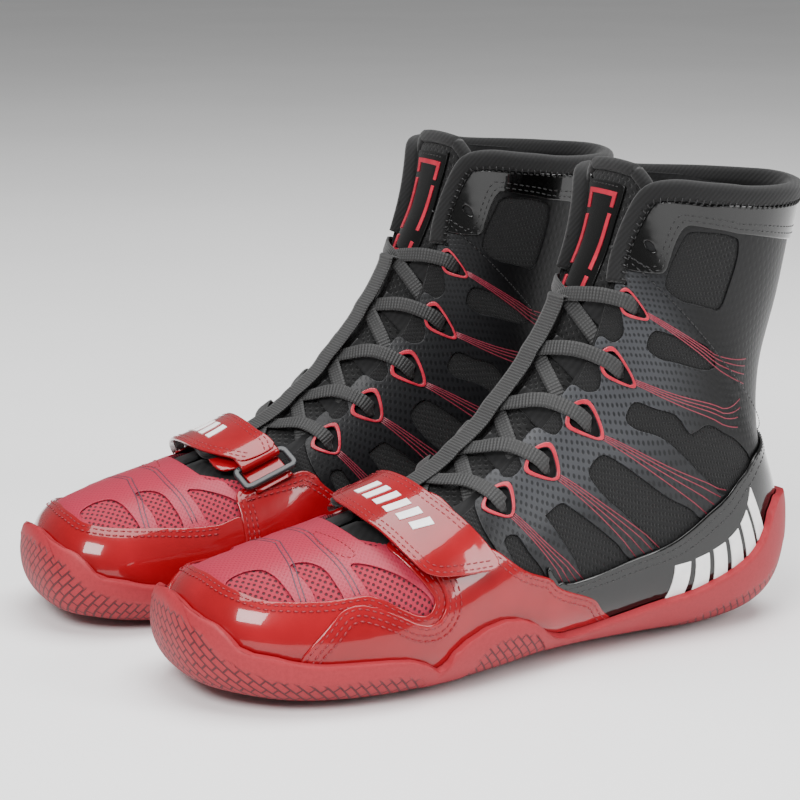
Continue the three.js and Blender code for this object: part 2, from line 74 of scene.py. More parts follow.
def lastNormal(t, v):
    e = 2e-3
    dt = lastPoint(np.minimum(t + e, endRow), v) - lastPoint(np.maximum(t - e, 0), v)
    dv = lastPoint(t, v + e) - lastPoint(t, v - e)
    n = np.cross(dv, dt)
    length = np.linalg.norm(n, axis=1, keepdims=True)
    return np.where((t < .05)[:, None], [[1.0, 0, 0]], n / np.maximum(length, 1e-9))


def onLast(t, v, h):
    t, v, h = (np.atleast_1d(np.asarray(a, float)) for a in (t, v, h))
    return lastPoint(np.clip(t, 0, endRow), v) + lastNormal(np.clip(t, 0, endRow), v) * h[:, None]


# lengths on the cloth: how far along the last, and how far round it, in mm
sampleT = np.linspace(0, endRow, 161)
sideLine = lastPoint(sampleT, np.full(161, .33))
alongTable = np.concatenate([[0], np.cumsum(np.linalg.norm(np.diff(sideLine, axis=0), axis=1))])
roundTable = np.array([np.linalg.norm(np.diff(lastPoint(np.full(41, t), np.linspace(0, 1, 41)), axis=0), axis=1).sum()
                       for t in sampleT])


def clothPlace(t, v):
    return np.interp(t, sampleT, alongTable), v * np.interp(t, sampleT, roundTable)


def toWorld(p):
    return (np.asarray(p) + [-stand["x"], stand["y"], 0]) / 1000


def srgb(code):
    parts = [int(code[i:i + 2], 16) / 255 for i in (1, 3, 5)]
    return [*(c / 12.92 if c <= .04045 else ((c + .055) / 1.055) ** 2.4 for c in parts), 1]


def addNode(tree, kind, settings=None, links=None):
    node = tree.nodes.new("ShaderNode" + kind)
    for key, value in (settings or {}).items():
        if isinstance(key, int) or key in node.inputs.keys():   # a number where sockets share a name
            node.inputs[key].default_value = value
        else:
            setattr(node, key, value)
    for key, source in (links or {}).items():
        tree.links.new(source, node.inputs[key])
    return node


def newMaterial(name, **sockets):
    material = bpy.data.materials.new(name)
    material.use_nodes = True
    tree = material.node_tree
    tree.nodes.clear()
    shader = addNode(tree, "BsdfPrincipled", sockets)
    addNode(tree, "OutputMaterial", {}, {"Surface": shader.outputs[0]})
    return material, tree, shader


def rampNode(tree, source, stops, ease="LINEAR"):
    ramp = addNode(tree, "ValToRGB", {}, {"Fac": source})
    ramp.color_ramp.interpolation = ease
    while len(ramp.color_ramp.elements) < len(stops):
        ramp.color_ramp.elements.new(.5)
    for element, (at, colour) in zip(ramp.color_ramp.elements, stops):
        element.position = at
        element.color = srgb(colour) if isinstance(colour, str) else (colour, colour, colour, 1)
    return ramp


def clothVector(tree, turn=0, scale=(1, 1, 1)):
    # mm on the cloth, from the piece's own attribute
    cloth = addNode(tree, "Attribute", {"attribute_name": "cloth"})
    return addNode(tree, "Mapping", {"Rotation": (0, 0, turn), "Scale": scale}, {"Vector": cloth.outputs["Vector"]})


def bumpNode(tree, shader, height, distance, strength=1.0, under=None):
    links = {"Height": height}
    if under:
        links["Normal"] = under.outputs[0]
    bump = addNode(tree, "Bump", {"Distance": distance, "Strength": strength}, links)
    tree.links.new(bump.outputs[0], shader.inputs["Normal"])
    return bump


def patentMaterial(name, colour, deep, grain=.00004):
    # patent synthetic leather, lacquered: mirror gloss over a faint leather dimple and slow colour drift
    material, tree, shader = newMaterial(name, Roughness=.22,
                        **{"Coat Weight": 1.0, "Coat Roughness": .04, "Coat IOR": 1.4, "IOR": 1.5, "Specular IOR Level": .15})
    spot = addNode(tree, "TexCoord")
    cloud = addNode(tree, "TexNoise", {"Scale": 38, "Detail": 3}, {"Vector": spot.outputs["Object"]})
    tint = rampNode(tree, cloud.outputs["Fac"], [(.3, deep), (.7, colour)])
    tree.links.new(tint.outputs[0], shader.inputs["Base Color"])
    dimple = addNode(tree, "TexNoise", {"Scale": 420, "Detail": 2}, {"Vector": spot.outputs["Object"]})
    wave = bumpNode(tree, shader, cloud.outputs["Fac"], .0006, .5)
    bumpNode(tree, shader, dimple.outputs["Fac"], grain, .5, wave)
    tree.links.new(wave.outputs[0], shader.inputs["Coat Normal"])
    return material


def meshMaterial(name, strand, strandDeep, hole, pitch, roughness=.75, depth=.0004):
    # air mesh, warp knitted: round holes in staggered rows between soft strands, the holes painted dark as painted
    # shade
    material, tree, shader = newMaterial(name, Roughness=roughness, **{"Sheen Weight": .08, "Specular IOR Level": .35})
    at = clothVector(tree, math.radians(45), (1 / pitch, 1 / pitch, 1))
    cells = addNode(tree, "TexVoronoi", {"voronoi_dimensions": "2D", "Scale": 1, "Randomness": .12}, {"Vector": at.outputs[0]})
    holes = rampNode(tree, cells.outputs["Distance"], [(.2, 0.0), (.34, 1.0)], "EASE")
    fine = clothVector(tree, math.radians(45), (2.6 / pitch, 9 / pitch, 1))
    threads = addNode(tree, "TexNoise", {"noise_dimensions": "2D", "Scale": 2.5, "Detail": 2}, {"Vector": fine.outputs[0]})
    body = rampNode(tree, threads.outputs["Fac"], [(.3, strandDeep), (.7, strand)])
    # painted shade: the open holes take the dark hole colour
    mix = addNode(tree, "Mix", {"data_type": "RGBA", 6: srgb(hole)}, {"Factor": holes.outputs[0], 7: body.outputs[0]})
    tree.links.new(mix.outputs[2], shader.inputs["Base Color"])
    deep = bumpNode(tree, shader, holes.outputs[0], depth, 1)
    bumpNode(tree, shader, threads.outputs["Fac"], .0001, .6, deep)
    return material


def ribMaterial(name, light, dark, pitch, roughness=.62, across=.8):
    # woven polyester band: ribs across its length, with the warp threads just showing; the colour darkens into the
    # valleys between ribs and threads as painted shade
    material, tree, shader = newMaterial(name, Roughness=roughness, **{"Sheen Weight": .15})
    at = clothVector(tree, 0, (1, 1, 1))
    ribs = addNode(tree, "TexWave", {"wave_type": "BANDS", "bands_direction": "X", "Scale": .314 / pitch, "Distortion": .25, "Detail": 1.0},
                   {"Vector": at.outputs[0]})
    warp = addNode(tree, "TexWave", {"wave_type": "BANDS", "bands_direction": "Y", "Scale": .314 / across, "Distortion": .2},
                   {"Vector": at.outputs[0]})
    lift = addNode(tree, "Math", {"operation": "MULTIPLY_ADD", 1: .45, 2: .55}, {0: warp.outputs["Fac"]})
    joint = addNode(tree, "Math", {"operation": "MULTIPLY"}, {0: ribs.outputs["Fac"], 1: lift.outputs[0]})
    # painted shade and highlight: rib and thread tops take the light colour, the valleys between them take the dark one
    tint = rampNode(tree, joint.outputs[0], [(.15, dark), (.8, light)])
    tree.links.new(tint.outputs[0], shader.inputs["Base Color"])
    bumpNode(tree, shader, joint.outputs[0], .00025, .9)
    return material


def knitMaterial(name, light, dark, size=1.2, roughness=.85):
    # brushed knit: a matte pile with a fine diagonal twill
    material, tree, shader = newMaterial(name, Roughness=roughness,
                        **{"Sheen Weight": .12, "Sheen Roughness": .5, "Specular IOR Level": .3})
    spot = addNode(tree, "TexCoord")
    fuzz = addNode(tree, "TexNoise", {"Scale": 900 / size, "Detail": 4, "Roughness": .7}, {"Vector": spot.outputs["Object"]})
    at = addNode(tree, "Mapping", {"Rotation": (.4, .6, .7)}, {"Vector": spot.outputs["Object"]})
    twill = addNode(tree, "TexWave", {"Scale": 160 / size, "Distortion": .6, "Detail": 1}, {"Vector": at.outputs[0]})
    both = addNode(tree, "Math", {"operation": "ADD"}, {0: fuzz.outputs["Fac"], 1: twill.outputs["Fac"]})
    half = addNode(tree, "Math", {"operation": "MULTIPLY", 1: .5}, {0: both.outputs[0]})
    tint = rampNode(tree, half.outputs[0], [(.25, dark), (.75, light)])
    tree.links.new(tint.outputs[0], shader.inputs["Base Color"])
    bumpNode(tree, shader, half.outputs[0], .0002, .8)
    return material


def filmMaterial(name, plain, dotted, dot, pitch, fade, roughness=.38):
    # welded polyurethane film over mesh: the mesh holes print through as soft darker dots
    material, tree, shader = newMaterial(name, Roughness=roughness,
                        **{"Coat Weight": .05, "Coat Roughness": .3, "IOR": 1.5, "Specular IOR Level": .22})
    at = clothVector(tree, math.radians(45), (1 / pitch, 1 / pitch, 1))
    cells = addNode(tree, "TexVoronoi", {"voronoi_dimensions": "2D", "Scale": 1, "Randomness": .1}, {"Vector": at.outputs[0]})
    dots = rampNode(tree, cells.outputs["Distance"], [(.2, 0.0), (.36, 1.0)], "EASE")
    cloth = addNode(tree, "Mix", {"data_type": "RGBA", 6: srgb(dot), 7: srgb(dotted)}, {"Factor": dots.outputs[0]})
    if fade:
        amount = addNode(tree, "Attribute", {"attribute_name": "fade"})
        mix = addNode(tree, "Mix", {"data_type": "RGBA", 6: srgb(plain)}, {"Factor": amount.outputs["Fac"], 7: cloth.outputs[2]})
    else:
        spot = addNode(tree, "TexCoord")
        cloud = addNode(tree, "TexNoise", {"Scale": 30, "Detail": 2}, {"Vector": spot.outputs["Object"]})
        mix = addNode(tree, "Mix", {"data_type": "RGBA", 7: srgb(plain)}, {"Factor": cloud.outputs["Fac"], 6: cloth.outputs[2]})
    tree.links.new(mix.outputs[2], shader.inputs["Base Color"])
    bumpNode(tree, shader, dots.outputs[0], .00008, .7)
    return material


def plainMaterial(name, colour, deep, roughness=.5, scale=60, bump=.00005, **sockets):
    material, tree, shader = newMaterial(name, Roughness=roughness, **sockets)
    spot = addNode(tree, "TexCoord")
    cloud = addNode(tree, "TexNoise", {"Scale": scale, "Detail": 4}, {"Vector": spot.outputs["Object"]})
    tint = rampNode(tree, cloud.outputs["Fac"], [(.3, deep), (.7, colour)])
    tree.links.new(tint.outputs[0], shader.inputs["Base Color"])
    fine = addNode(tree, "TexNoise", {"Scale": 1400, "Detail": 2}, {"Vector": spot.outputs["Object"]})
    bumpNode(tree, shader, fine.outputs["Fac"], bump, .7)
    return material


def rubberMaterial(name, colour, deep):
    # vulcanised rubber, moulded: dusty matte walls, and a woven block tread where the attribute "tread" says; the tread
    # grooves are painted dark as painted shade
    material, tree, shader = newMaterial(name, Roughness=.6, **{"IOR": 1.5, "Specular IOR Level": .4})
    spot = addNode(tree, "TexCoord")
    cloud = addNode(tree, "TexNoise", {"Scale": 700, "Detail": 4, "Roughness": .7}, {"Vector": spot.outputs["Object"]})
    at = clothVector(tree, math.radians(45), (1 / 3.0, 1 / 3.0, 1))
    bricks = addNode(tree, "TexBrick", {"offset": .5, "Scale": 1.0, "Mortar Size": .13, "Mortar Smooth": .25, "Brick Width": 2.0,
                        "Row Height": 1.0}, {"Vector": at.outputs[0]})
    groove = addNode(tree, "Attribute", {"attribute_name": "tread"})
    cut = addNode(tree, "Math", {"operation": "MULTIPLY"}, {0: bricks.outputs["Fac"], 1: groove.outputs["Fac"]})
    tint = rampNode(tree, cloud.outputs["Fac"], [(.3, deep), (.75, colour)])
    # painted shade: the grooves between the tread blocks are mixed towards dark red
    mix = addNode(tree, "Mix", {"data_type": "RGBA", 7: srgb("#4a0c14")}, {"Factor": cut.outputs[0], 6: tint.outputs[0]})
    tree.links.new(mix.outputs[2], shader.inputs["Base Color"])
    solid = addNode(tree, "Math", {"operation": "SUBTRACT", 0: 1}, {1: cut.outputs[0]})
    first = bumpNode(tree, shader, solid.outputs[0], .0012, 1)
    bumpNode(tree, shader, cloud.outputs["Fac"], .00006, .6, first)
    return material


looks = {
    "patentRed": patentMaterial("patent_red", "#8f0e19", "#7c0810"),
    "patentBlack": patentMaterial("patent_black", "#040404", "#020202"),
    "rubber": rubberMaterial("moulded_rubber", "#98202b", "#871922"),
    "vampFilm": filmMaterial("vamp_film", "#952538", "#9a2b3f", "#821c32", 1.5, False),
    "vampMesh": meshMaterial("vamp_air_mesh", "#a81c38", "#800f28", "#3c0410", 2.3),
    "quarterFilm": filmMaterial("quarter_film", "#070708", "#37383b", "#1c1d1f", 2.6, True),
    "quarterMesh": meshMaterial("quarter_knit", "#0f0f10", "#070708", "#020202", 1.6, .9, .0003),
    "tongueMesh": meshMaterial("tongue_air_mesh", "#0f0f10", "#070707", "#010101", 2.6, .85, .0006),
    "binding": knitMaterial("binding_knit", "#101011", "#060606", .8),
    "lining": knitMaterial("lining_textile", "#101011", "#070708", 1.4),
    "webbing": ribMaterial("webbing_polyester", "#2c2c2c", "#080808", 1.3, across=1.1),
    "lace": ribMaterial("lace_polyester", "#222222", "#060606", 1.5, across=1.3),
    "hook": knitMaterial("hook_and_loop_pile", "#141414", "#030303", 2.2, 1),
    "ring": plainMaterial("ring_nylon", "#26282b", "#1e2023", .34, 90, .00004),
    "print": plainMaterial("white_print", "#f2f2f0", "#e4e4e4", .42, 200, .00002),
    "rim": plainMaterial("red_weld_film", "#b02438", "#961a2c", .3, 200, .00003),
    "line": plainMaterial("red_print", "#7c1c30", "#681426", .5, 300, .00001),
    "threadRed": plainMaterial("thread_red", "#8c1824", "#6c0e18", .45, 2500, .00003),
    "threadBlack": plainMaterial("thread_black", "#101011", "#080809", .35, 2500, .00003),
    "greyLine": plainMaterial("grey_print", "#4a3a44", "#3c3038", .4, 300, .00001),
    "foam": plainMaterial("midsole_foam", "#d8d2c6", "#c8c2b4", .8, 300, .0002),
    "board": plainMaterial("fibre_board", "#c4ae86", "#ac9468", .85, 500, .0002),
    "sock": knitMaterial("sock_textile", "#202022", "#101012", 1.2),
    "stiff": plainMaterial("stiffener", "#d0cabc", "#c0b8a8", .7, 400, .0001),
}
print("materials mixed")


def finishPiece(bm, name, look, body="boot", nodes=(), slot=None, padded=None, weighted=True):
    bmesh.ops.recalc_face_normals(bm, faces=bm.faces[:])
    for side in ("left", "right"):
        if side == "right":
            shift = Matrix.Translation((stand["rightAhead"] / 1000, 0, 0)) @ Matrix.Diagonal((1, -1, 1, 1))
            bmesh.ops.transform(bm, matrix=shift, verts=bm.verts[:])
            bmesh.ops.reverse_faces(bm, faces=bm.faces[:])
        mesh = bpy.data.meshes.new(f"{side}_{name}")
        bm.to_mesh(mesh)
        mesh.shade_smooth()
        mesh.materials.append(looks[look])
        piece = bpy.data.objects.new(f"{side}_{name}", mesh)
        bpy.context.scene.collection.objects.link(piece)
        if weighted:
            piece.modifiers.new("flatter rims", "WEIGHTED_NORMAL").weight = 60
        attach(piece, f"{side}_{body}")
        if nodes:
            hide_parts(*[f"{side}_{node}" for node in nodes])
    bm.free()


def curveThrough(points, step=1.3, closed=True):
    # smooth line through the given points, a doubled point is a corner
    p = np.asarray(points, float)
    n = len(p)
    out = []
    for i in range(n if closed else n - 1):
        a, b = p[i], p[(i + 1) % n]
        long = np.linalg.norm((b - a)[:2])
        if long < 1e-6:
            continue
        z = p[i - 1] if closed or i > 0 else 2 * a - b
        c = p[(i + 2) % n] if closed or i < n - 2 else 2 * b - a
        f = (np.arange(max(1, round(long / step))) / max(1, round(long / step)))[:, None]
        out.append(.5 * (2 * a + (b - z) * f + (2 * z - 5 * a + 4 * b - c) * f ** 2 + (3 * a - z - 3 * b + c) * f ** 3))
    if not closed:
        out.append(p[-1:])
    return np.vstack(out)


flat = {"t": 20, "v": 110}      # mm on the cutting table for one station and one half turn


def cutPattern(outline, holes=(), level=(0, 1), rim=.4, cell=(2.6, 2.4), step=1.4):
    bm = bmesh.new()
    for loop in (outline, *holes):
        spots = curveThrough([(t * flat["t"], v * flat["v"]) for t, v in loop], step)
        verts = [bm.verts.new((x, y, level[1] - rim * .8)) for x, y in spots]
        for a, b in zip(verts, verts[1:] + verts[:1]):
            bm.edges.new((a, b))
    bmesh.ops.triangle_fill(bm, use_beauty=True, use_dissolve=False, edges=bm.edges[:])
    lowest = [min(v.co[k] for v in bm.verts) for k in (0, 1)] + [level[1] - rim * .8]
    highest = [max(v.co[k] for v in bm.verts) for k in (0, 1)] + [level[1]]
    bm.normal_update()
    if next(iter(bm.faces)).normal.z < 0:
        bmesh.ops.reverse_faces(bm, faces=bm.faces[:])
    inner = bm.faces[:]
    for share, lift in ((.35, .55), (.65, .25)):
        bmesh.ops.inset_region(bm, faces=inner, thickness=rim * share, depth=rim * lift, use_boundary=True, use_even_offset=False)
    kept = set(inner)
    for vert in bm.verts:
        vert.co = [min(max(c, lo), hi) for c, lo, hi in zip(vert.co, lowest, highest)]
    for edge in bm.edges:
        edge.seam = len(edge.link_faces) == 2 and all(f in kept for f in edge.link_faces)
    for axis, size in ((0, cell[0]), (1, cell[1])):
        span = [v.co[axis] for v in bm.verts]
        normal = Vector((1, 0, 0)) if axis == 0 else Vector((0, 1, 0))
        for at in np.arange(min(span) + size * .371, max(span), size):
            bmesh.ops.bisect_plane(bm, geom=bm.verts[:] + bm.edges[:] + bm.faces[:], dist=1e-5, plane_co=normal * float(at),
                                plane_no=normal)
    bmesh.ops.dissolve_edges(bm, edges=[e for e in bm.edges if e.seam], use_verts=True, use_face_split=False)
    under = bmesh.ops.extrude_face_region(bm, geom=bm.faces[:], use_keep_orig=True)
    for v in under["geom"]:
        if isinstance(v, bmesh.types.BMVert):
            v.co.z = level[0]
    return bm


def wrapOnLast(bm, fade=None, extra=None):
    cloth = bm.verts.layers.float_vector.new("cloth")
    shade = bm.verts.layers.float.new("fade")
    co = np.array([v.co for v in bm.verts])
    t, v, h = co[:, 0] / flat["t"], co[:, 1] / flat["v"], co[:, 2]
    if extra:
        h = h + extra(t, v)
    places = toWorld(onLast(t, v, h))
    u, w = clothPlace(t, v)
    dark = fade(t, v) if fade else np.zeros(len(t))
    for k, vert in enumerate(bm.verts):
        vert[cloth] = (u[k], w[k], 0)
        vert[shade] = dark[k]
        vert.co = places[k]
    return bm


def sewPiece(name, look, outline, level, holes=(), fade=None, extra=None, rim=.4, cell=(2.6, 2.4), **about):
    bm = wrapOnLast(cutPattern(outline, holes, level, rim, cell), fade, extra)
    finishPiece(bm, name, look, **about)


def mirrored(points):
    return [(t, -v) for t, v in reversed(points)]


def roundBack(points):
    # on to the heel and back along the inner side
    return points + [(t, 2 - v) for t, v in reversed(points[:-1])]


def sharp(corners):
    return [p for corner in corners for p in (corner, corner)]


def addSmall(bm, outline, level, rim, step=1.3, holes=(), cell=(6, 6)):
    # one small film or mark, wrapped on the last and added to the others
    piece = wrapOnLast(cutPattern(outline, holes, level, rim, cell, step))
    mesh = bpy.data.meshes.new("small")
    piece.to_mesh(mesh)
    piece.free()
    bm.from_mesh(mesh)
    bpy.data.meshes.remove(mesh)


def bandFrames(spots, outs):
    heading = np.gradient(spots, axis=0)
    heading /= np.linalg.norm(heading, axis=1, keepdims=True)
    sides = np.cross(outs, heading)
    sides /= np.maximum(np.linalg.norm(sides, axis=1, keepdims=True), 1e-9)
    ups = np.cross(heading, sides)
    return heading, sides, ups


def sweepBand(bm, spots, outs, width, thick, corners=8, square=.55):
    # a flat or rolled band swept along a line: one ring of the section, extruded from place to place, mm
    heading, sides, ups = bandFrames(spots, outs)
    cloth = bm.verts.layers.float_vector.get("cloth") or bm.verts.layers.float_vector.new("cloth")
    ring = bmesh.ops.create_circle(bm, cap_ends=False, segments=corners, radius=1)["verts"]
    for v in ring:
        a = math.atan2(v.co.y, v.co.x) + math.pi / corners
        v.co.x = math.copysign(abs(math.cos(a)) ** square, math.cos(a)) * width / 2
        v.co.y = math.copysign(abs(math.sin(a)) ** square, math.sin(a)) * thick / 2
        v.co.z = 0
        v[cloth] = (0, v.co.x, 0)
    run = 0
    frames = []
    for p, s, u, h in zip(toWorld(spots), sides, ups, heading):
        m = Matrix((s / 1000, u / 1000, h / 1000)).transposed().to_4x4()
        m.translation = Vector(p)
        frames.append(m)
    bmesh.ops.transform(bm, matrix=frames[0], verts=ring)
    edges = list({e for v in ring for e in v.link_edges})
    first = edges
    for i in range(1, len(frames)):
        made = bmesh.ops.extrude_edge_only(bm, edges=edges)["geom"]
        current = [g for g in made if isinstance(g, bmesh.types.BMVert)]
        fresh = set(current)
        edges = [g for g in made if isinstance(g, bmesh.types.BMEdge) and all(v in fresh for v in g.verts)]
        bmesh.ops.transform(bm, matrix=frames[i] @ frames[i - 1].inverted(), verts=current)
        run += float(np.linalg.norm(spots[i] - spots[i - 1]))
        for v in current:
            v[cloth] = (run, v[cloth][1], 0)
    bmesh.ops.edgeloop_fill(bm, edges=first)
    bmesh.ops.edgeloop_fill(bm, edges=edges)


def pathOnLast(points, step=1.4):
    line = curveThrough([(t * flat["t"], v * flat["v"], h) for t, v, h in points], step, closed=False)
    t, v, h = line[:, 0] / flat["t"], line[:, 1] / flat["v"], line[:, 2]
    return onLast(t, v, h), lastNormal(t, v)


def stitchRow(bm, points, h, pitch=3.2, size=(2.5, .75, .5), turn=0, shift=0, closed=False):
    # lockstitch: one small bead of thread for each stitch, sunk a little into the piece
    line = curveThrough([(t * flat["t"], v * flat["v"]) for t, v in points], .8, closed)
    t, v = line[:, 0] / flat["t"], line[:, 1] / flat["v"]
    spots, outs = onLast(t, v, np.full(len(t), h)), lastNormal(t, v)
    heading, sides, ups = bandFrames(spots, outs)
    spots = spots + sides * shift
    run = np.concatenate([[0], np.cumsum(np.linalg.norm(np.diff(spots, axis=0), axis=1))])
    for at in np.arange(pitch / 2, run[-1], pitch):
        k = int(np.searchsorted(run, at).clip(1, len(run) - 1))
        f = (at - run[k - 1]) / max(run[k] - run[k - 1], 1e-6)
        p = toWorld(spots[k - 1] * (1 - f) + spots[k] * f)
        m = Matrix((heading[k], sides[k], ups[k])).transposed().to_4x4()
        m = m @ Matrix.Rotation(turn, 4, "Z") @ Matrix.Diagonal((size[0] / 1000, size[1] / 1000, size[2] / 1000, 1))
        m.translation = Vector(p)
        bmesh.ops.create_icosphere(bm, subdivisions=1, radius=.5, matrix=m)


# cutting patterns: station along the last, share of the way round it (outer side positive)
def band(t, lo, hi):
    return np.clip((t - lo) / (hi - lo), 0, 1) ** 2 * (3 - 2 * np.clip((t - lo) / (hi - lo), 0, 1))


vamp = {
    "filmLevel": (3.55, 4.15), "meshLevel": (2.0, 3.2),
    "windows": [
        [(2.02, .15), (2.33, .114), (2.64, .121), (2.76, .156), (2.84, .22), (2.9, .34), (2.5, .34), (2.15, .26)],
        [(3.10, .145), (3.30, .148), (3.46, .187), (3.53, .25), (3.58, .37), (3.26, .37), (3.2, .27), (3.14, .2)],
        [(3.84, .212), (4.02, .222), (4.31, .272), (4.54, .322), (4.80, .40), (4.76, .47), (4.2, .44), (3.98, .36), (3.90, .29)]]}
side = [(1.5, .1), (1.65, .26), (2.3, .36), (3.2, .4), (4.0, .44), (4.9, .5), (5.02, .42), (4.76, .33), (4.53, .24),
        (4.42, .19), (4.22, .16), (4.11, .09)]
medialShift = -.03
windows = vamp["windows"] + [[(t, -(v + medialShift)) for t, v in reversed(w)] for w in vamp["windows"]]
sewPiece("vamp_film", "vampFilm", [(1.45, 0)] + side + [(4.07, 0)] + mirrored(side), vamp["filmLevel"], windows,
         rim=.22, nodes=["vamp"], slot="vamp_film")
sewPiece("vamp_mesh", "vampMesh", [(1.3, 0), (1.4, .3), (2.2, .5), (3.5, .55), (5.2, .6), (5.2, .3), (4.6, .2), (4.1, .1), (4.02, 0),
         (4.1, -.1), (4.6, -.2), (5.2, -.3), (5.2, -.6), (3.5, -.55), (2.2, -.5), (1.4, -.3)], vamp["meshLevel"], rim=.2, cell=(4, 4))
print("vamp cut")

guard = {"level": (4.25, 5.2), "panelLevel": (4.4, 6.15), "foxLevel": (4.7, 5.9)}
guardInner = [(4.45, .19), (4.53, .252), (4.76, .356), (4.84, .40), (4.74, .432), (4.57, .428), (4.31, .391), (4.08, .353), (3.91, .331),
              (3.65, .324), (3.33, .32), (2.84, .30), (2.44, .272), (2.12, .2), (1.98, .13), (1.90, .03), (1.86, -.03), (1.9, -.11),
              (2.0, -.19), (2.3, -.25), (2.75, -.285), (3.2, -.308), (3.7, -.335), (4.1, -.348), (4.62, -.365)]
guardOuter = [(4.62, -.62), (3.4, -.61), (2.3, -.6), (1.5, -.56), (1.2, -.47), (.9, -.35), (.72, -.2), (.72, 0), (.72, .2), (.9, .35),
              (1.2, .47),
              (1.5, .56), (2.3, .6), (3.4, .61), (4.9, .62), (5.1, .5), (5.15, .4), (5.05, .3), (4.8, .19)]
sewPiece("toe_guard", "patentRed", guardInner + guardOuter, guard["level"], rim=.45, cell=(2, 2), nodes=["toe_guard"], slot="patent_red")
lateralFront = [(2.76, .60), (2.82, .522), (2.99, .472), (3.24, .418), (3.46, .37), (3.62, .356), (3.79, .357), (4.05, .383), (4.28, .414),
                (4.57, .453), (4.80, .462), (4.95, .44), (5.0, .40), (4.92, .33), (4.76, .25), (4.68, .17), (4.75, .1)]
panelBack = [(5.87, .318), (6.10, .364), (6.47, .445), (6.93, .507), (7.37, .580), (7.51, .661), (7.80, .80), (7.9, .95)]
lateralRear = [(5.4, .08), (5.6, .12), (5.7, .22)] + panelBack
sewPiece("lateral_panel", "patentRed", lateralFront + lateralRear + [(6, .9), (4, .68)], guard["panelLevel"], rim=.5, cell=(2, 2),
         nodes=["lateral_panel"], slot="patent_red")
medialFront = [(4.47, -.62), (4.49, -.50), (4.50, -.42), (4.50, -.34), (4.50, -.29), (4.56, -.262), (4.75, -.258), (5.1, -.266),
               (5.47, -.279),
               (5.8, -.292), (6.0, -.325)]
sewPiece("medial_panel", "patentRed", medialFront + [(t, -v) for t, v in panelBack[1:]] + [(6, -.9), (4.7, -.68)], guard["panelLevel"],
         rim=.5, cell=(2, 2), nodes=["medial_panel"], slot="patent_red")
foxTop = [(6.95, .505), (7.16, .514), (7.57, .52), (7.97, .52), (8.35, .519), (8.63, .516), (9.07, .511), (9.67, .513), (10.28, .538),
          (10.74, .580), (11.17, .626), (11.6, .71), (12.0, .82), (12.22, .93), (12.26, 1)]
sewPiece("heel_foxing", "patentBlack", roundBack(foxTop) + [(6.8, 1.45), (6.8, .55)], guard["foxLevel"],
         rim=.5, cell=(2.4, 2.4), nodes=["heel_foxing"], slot="patent_black")
print("patent panels cut")

quarter = {
    "filmLevel": (3.55, 4.25), "meshLevel": (2.0, 3.3), "eyelets": [(6.5, .268), (7.47, .268), (8.5, .262), (9.75, .25), (11.2, .245)],
    "windows": [
        [(6.28, .35), (6.50, .355), (6.62, .41), (6.80, .49), (6.60, .50), (6.38, .43)],
        [(7.08, .360), (7.1, .36), (7.39, .358), (7.54, .387), (8.00, .507), (8.09, .55), (7.4, .55), (7.30, .49), (7.18, .42)],
        [(8.03, .341), (8.35, .326), (8.55, .349), (9.01, .449), (9.34, .50), (9.34, .54), (8.63, .54), (8.40, .495), (8.24, .445),
         (8.07, .395)],
        [(9.18, .305), (9.55, .303), (9.85, .345), (10.16, .391), (10.15, .426), (10.3, .44), (10.68, .475), (11.00, .55), (10.95, .61),
         (10.10, .53), (9.87, .476), (9.61, .387), (9.2, .33)],
        [(10.66, .293), (11.11, .306), (11.5, .37), (11.89, .437), (12.09, .487), (11.9, .50), (11.48, .457), (10.95, .37), (10.72, .33)],
        [(12.3, .342), (12.5, .332), (13.36, .356), (13.75, .368), (13.95, .40), (14.22, .50), (14.1, .525), (13.67, .530), (13.1, .522),
         (12.85, .49), (12.6, .437), (12.38, .39)]]}


def scallops(front, deep):
    # the throat edge swells out at each eyelet and dips in between them
    stops = [(6.05, deep - .01)]
    rows = quarter["eyelets"]
    for k, (t, v) in enumerate(rows):
        back = .42 if k else .3
        stops += [(t - back * .75, front + .03), (t - .12, front), (t + .22, front), (t + back * .8, front + .035)]
        if k < 4:
            gapMiddle = (t + rows[k + 1][0]) / 2
            stops += [(gapMiddle - .08, deep), (gapMiddle + .12, deep - .004)]
    return stops


def eyeletHole(t, v, grow=0.0):
    # three rounded corners: one up the shaft, one pointing back, one low at the front
    return [(t + .14 + grow, v - .040 - grow * .08), (t + .20 + grow, v - .022), (t + .10 + grow * .5, v + .024 + grow * .09),
            (t - .02, v + .030 + grow * .1),
            (t - .24 - grow, v - .012), (t - .27 - grow, v - .034 - grow * .08), (t - .06, v - .050 - grow * .12)]


edgeOut = scallops(.172, .226)
filmBack = [(12.0, .158), (13.2, .164), (14.0, .185), (14.55, .25), (14.75, .35), (14.9, .5), (15.1, .7), (15.25, .85), (15.3, .995),
            (15.3, .999), (13, .999), (11.65, .999), (11.65, .995), (11.4, .8), (10.6, .66), (9.5, .62), (8, .64), (7.2, .62), (6.5, .5),
            (6.05, .33)]


def quarterFade(t, v):
    a = np.abs((v + 1) % 2 - 1)
    grey = (1 - band(a, .30, .50)) * band(t, 5.6, 7.2) * (1 - band(t, 10.6, 13.4)) * 1.0
    streaks = .35 * (1 - band(a, .42, .58)) * band(t, 6, 7) * (1 - band(t, 9.2, 11.5))
    return np.clip(np.maximum(grey, streaks), 0, 1) * np.where(v >= 0, 1, .22)


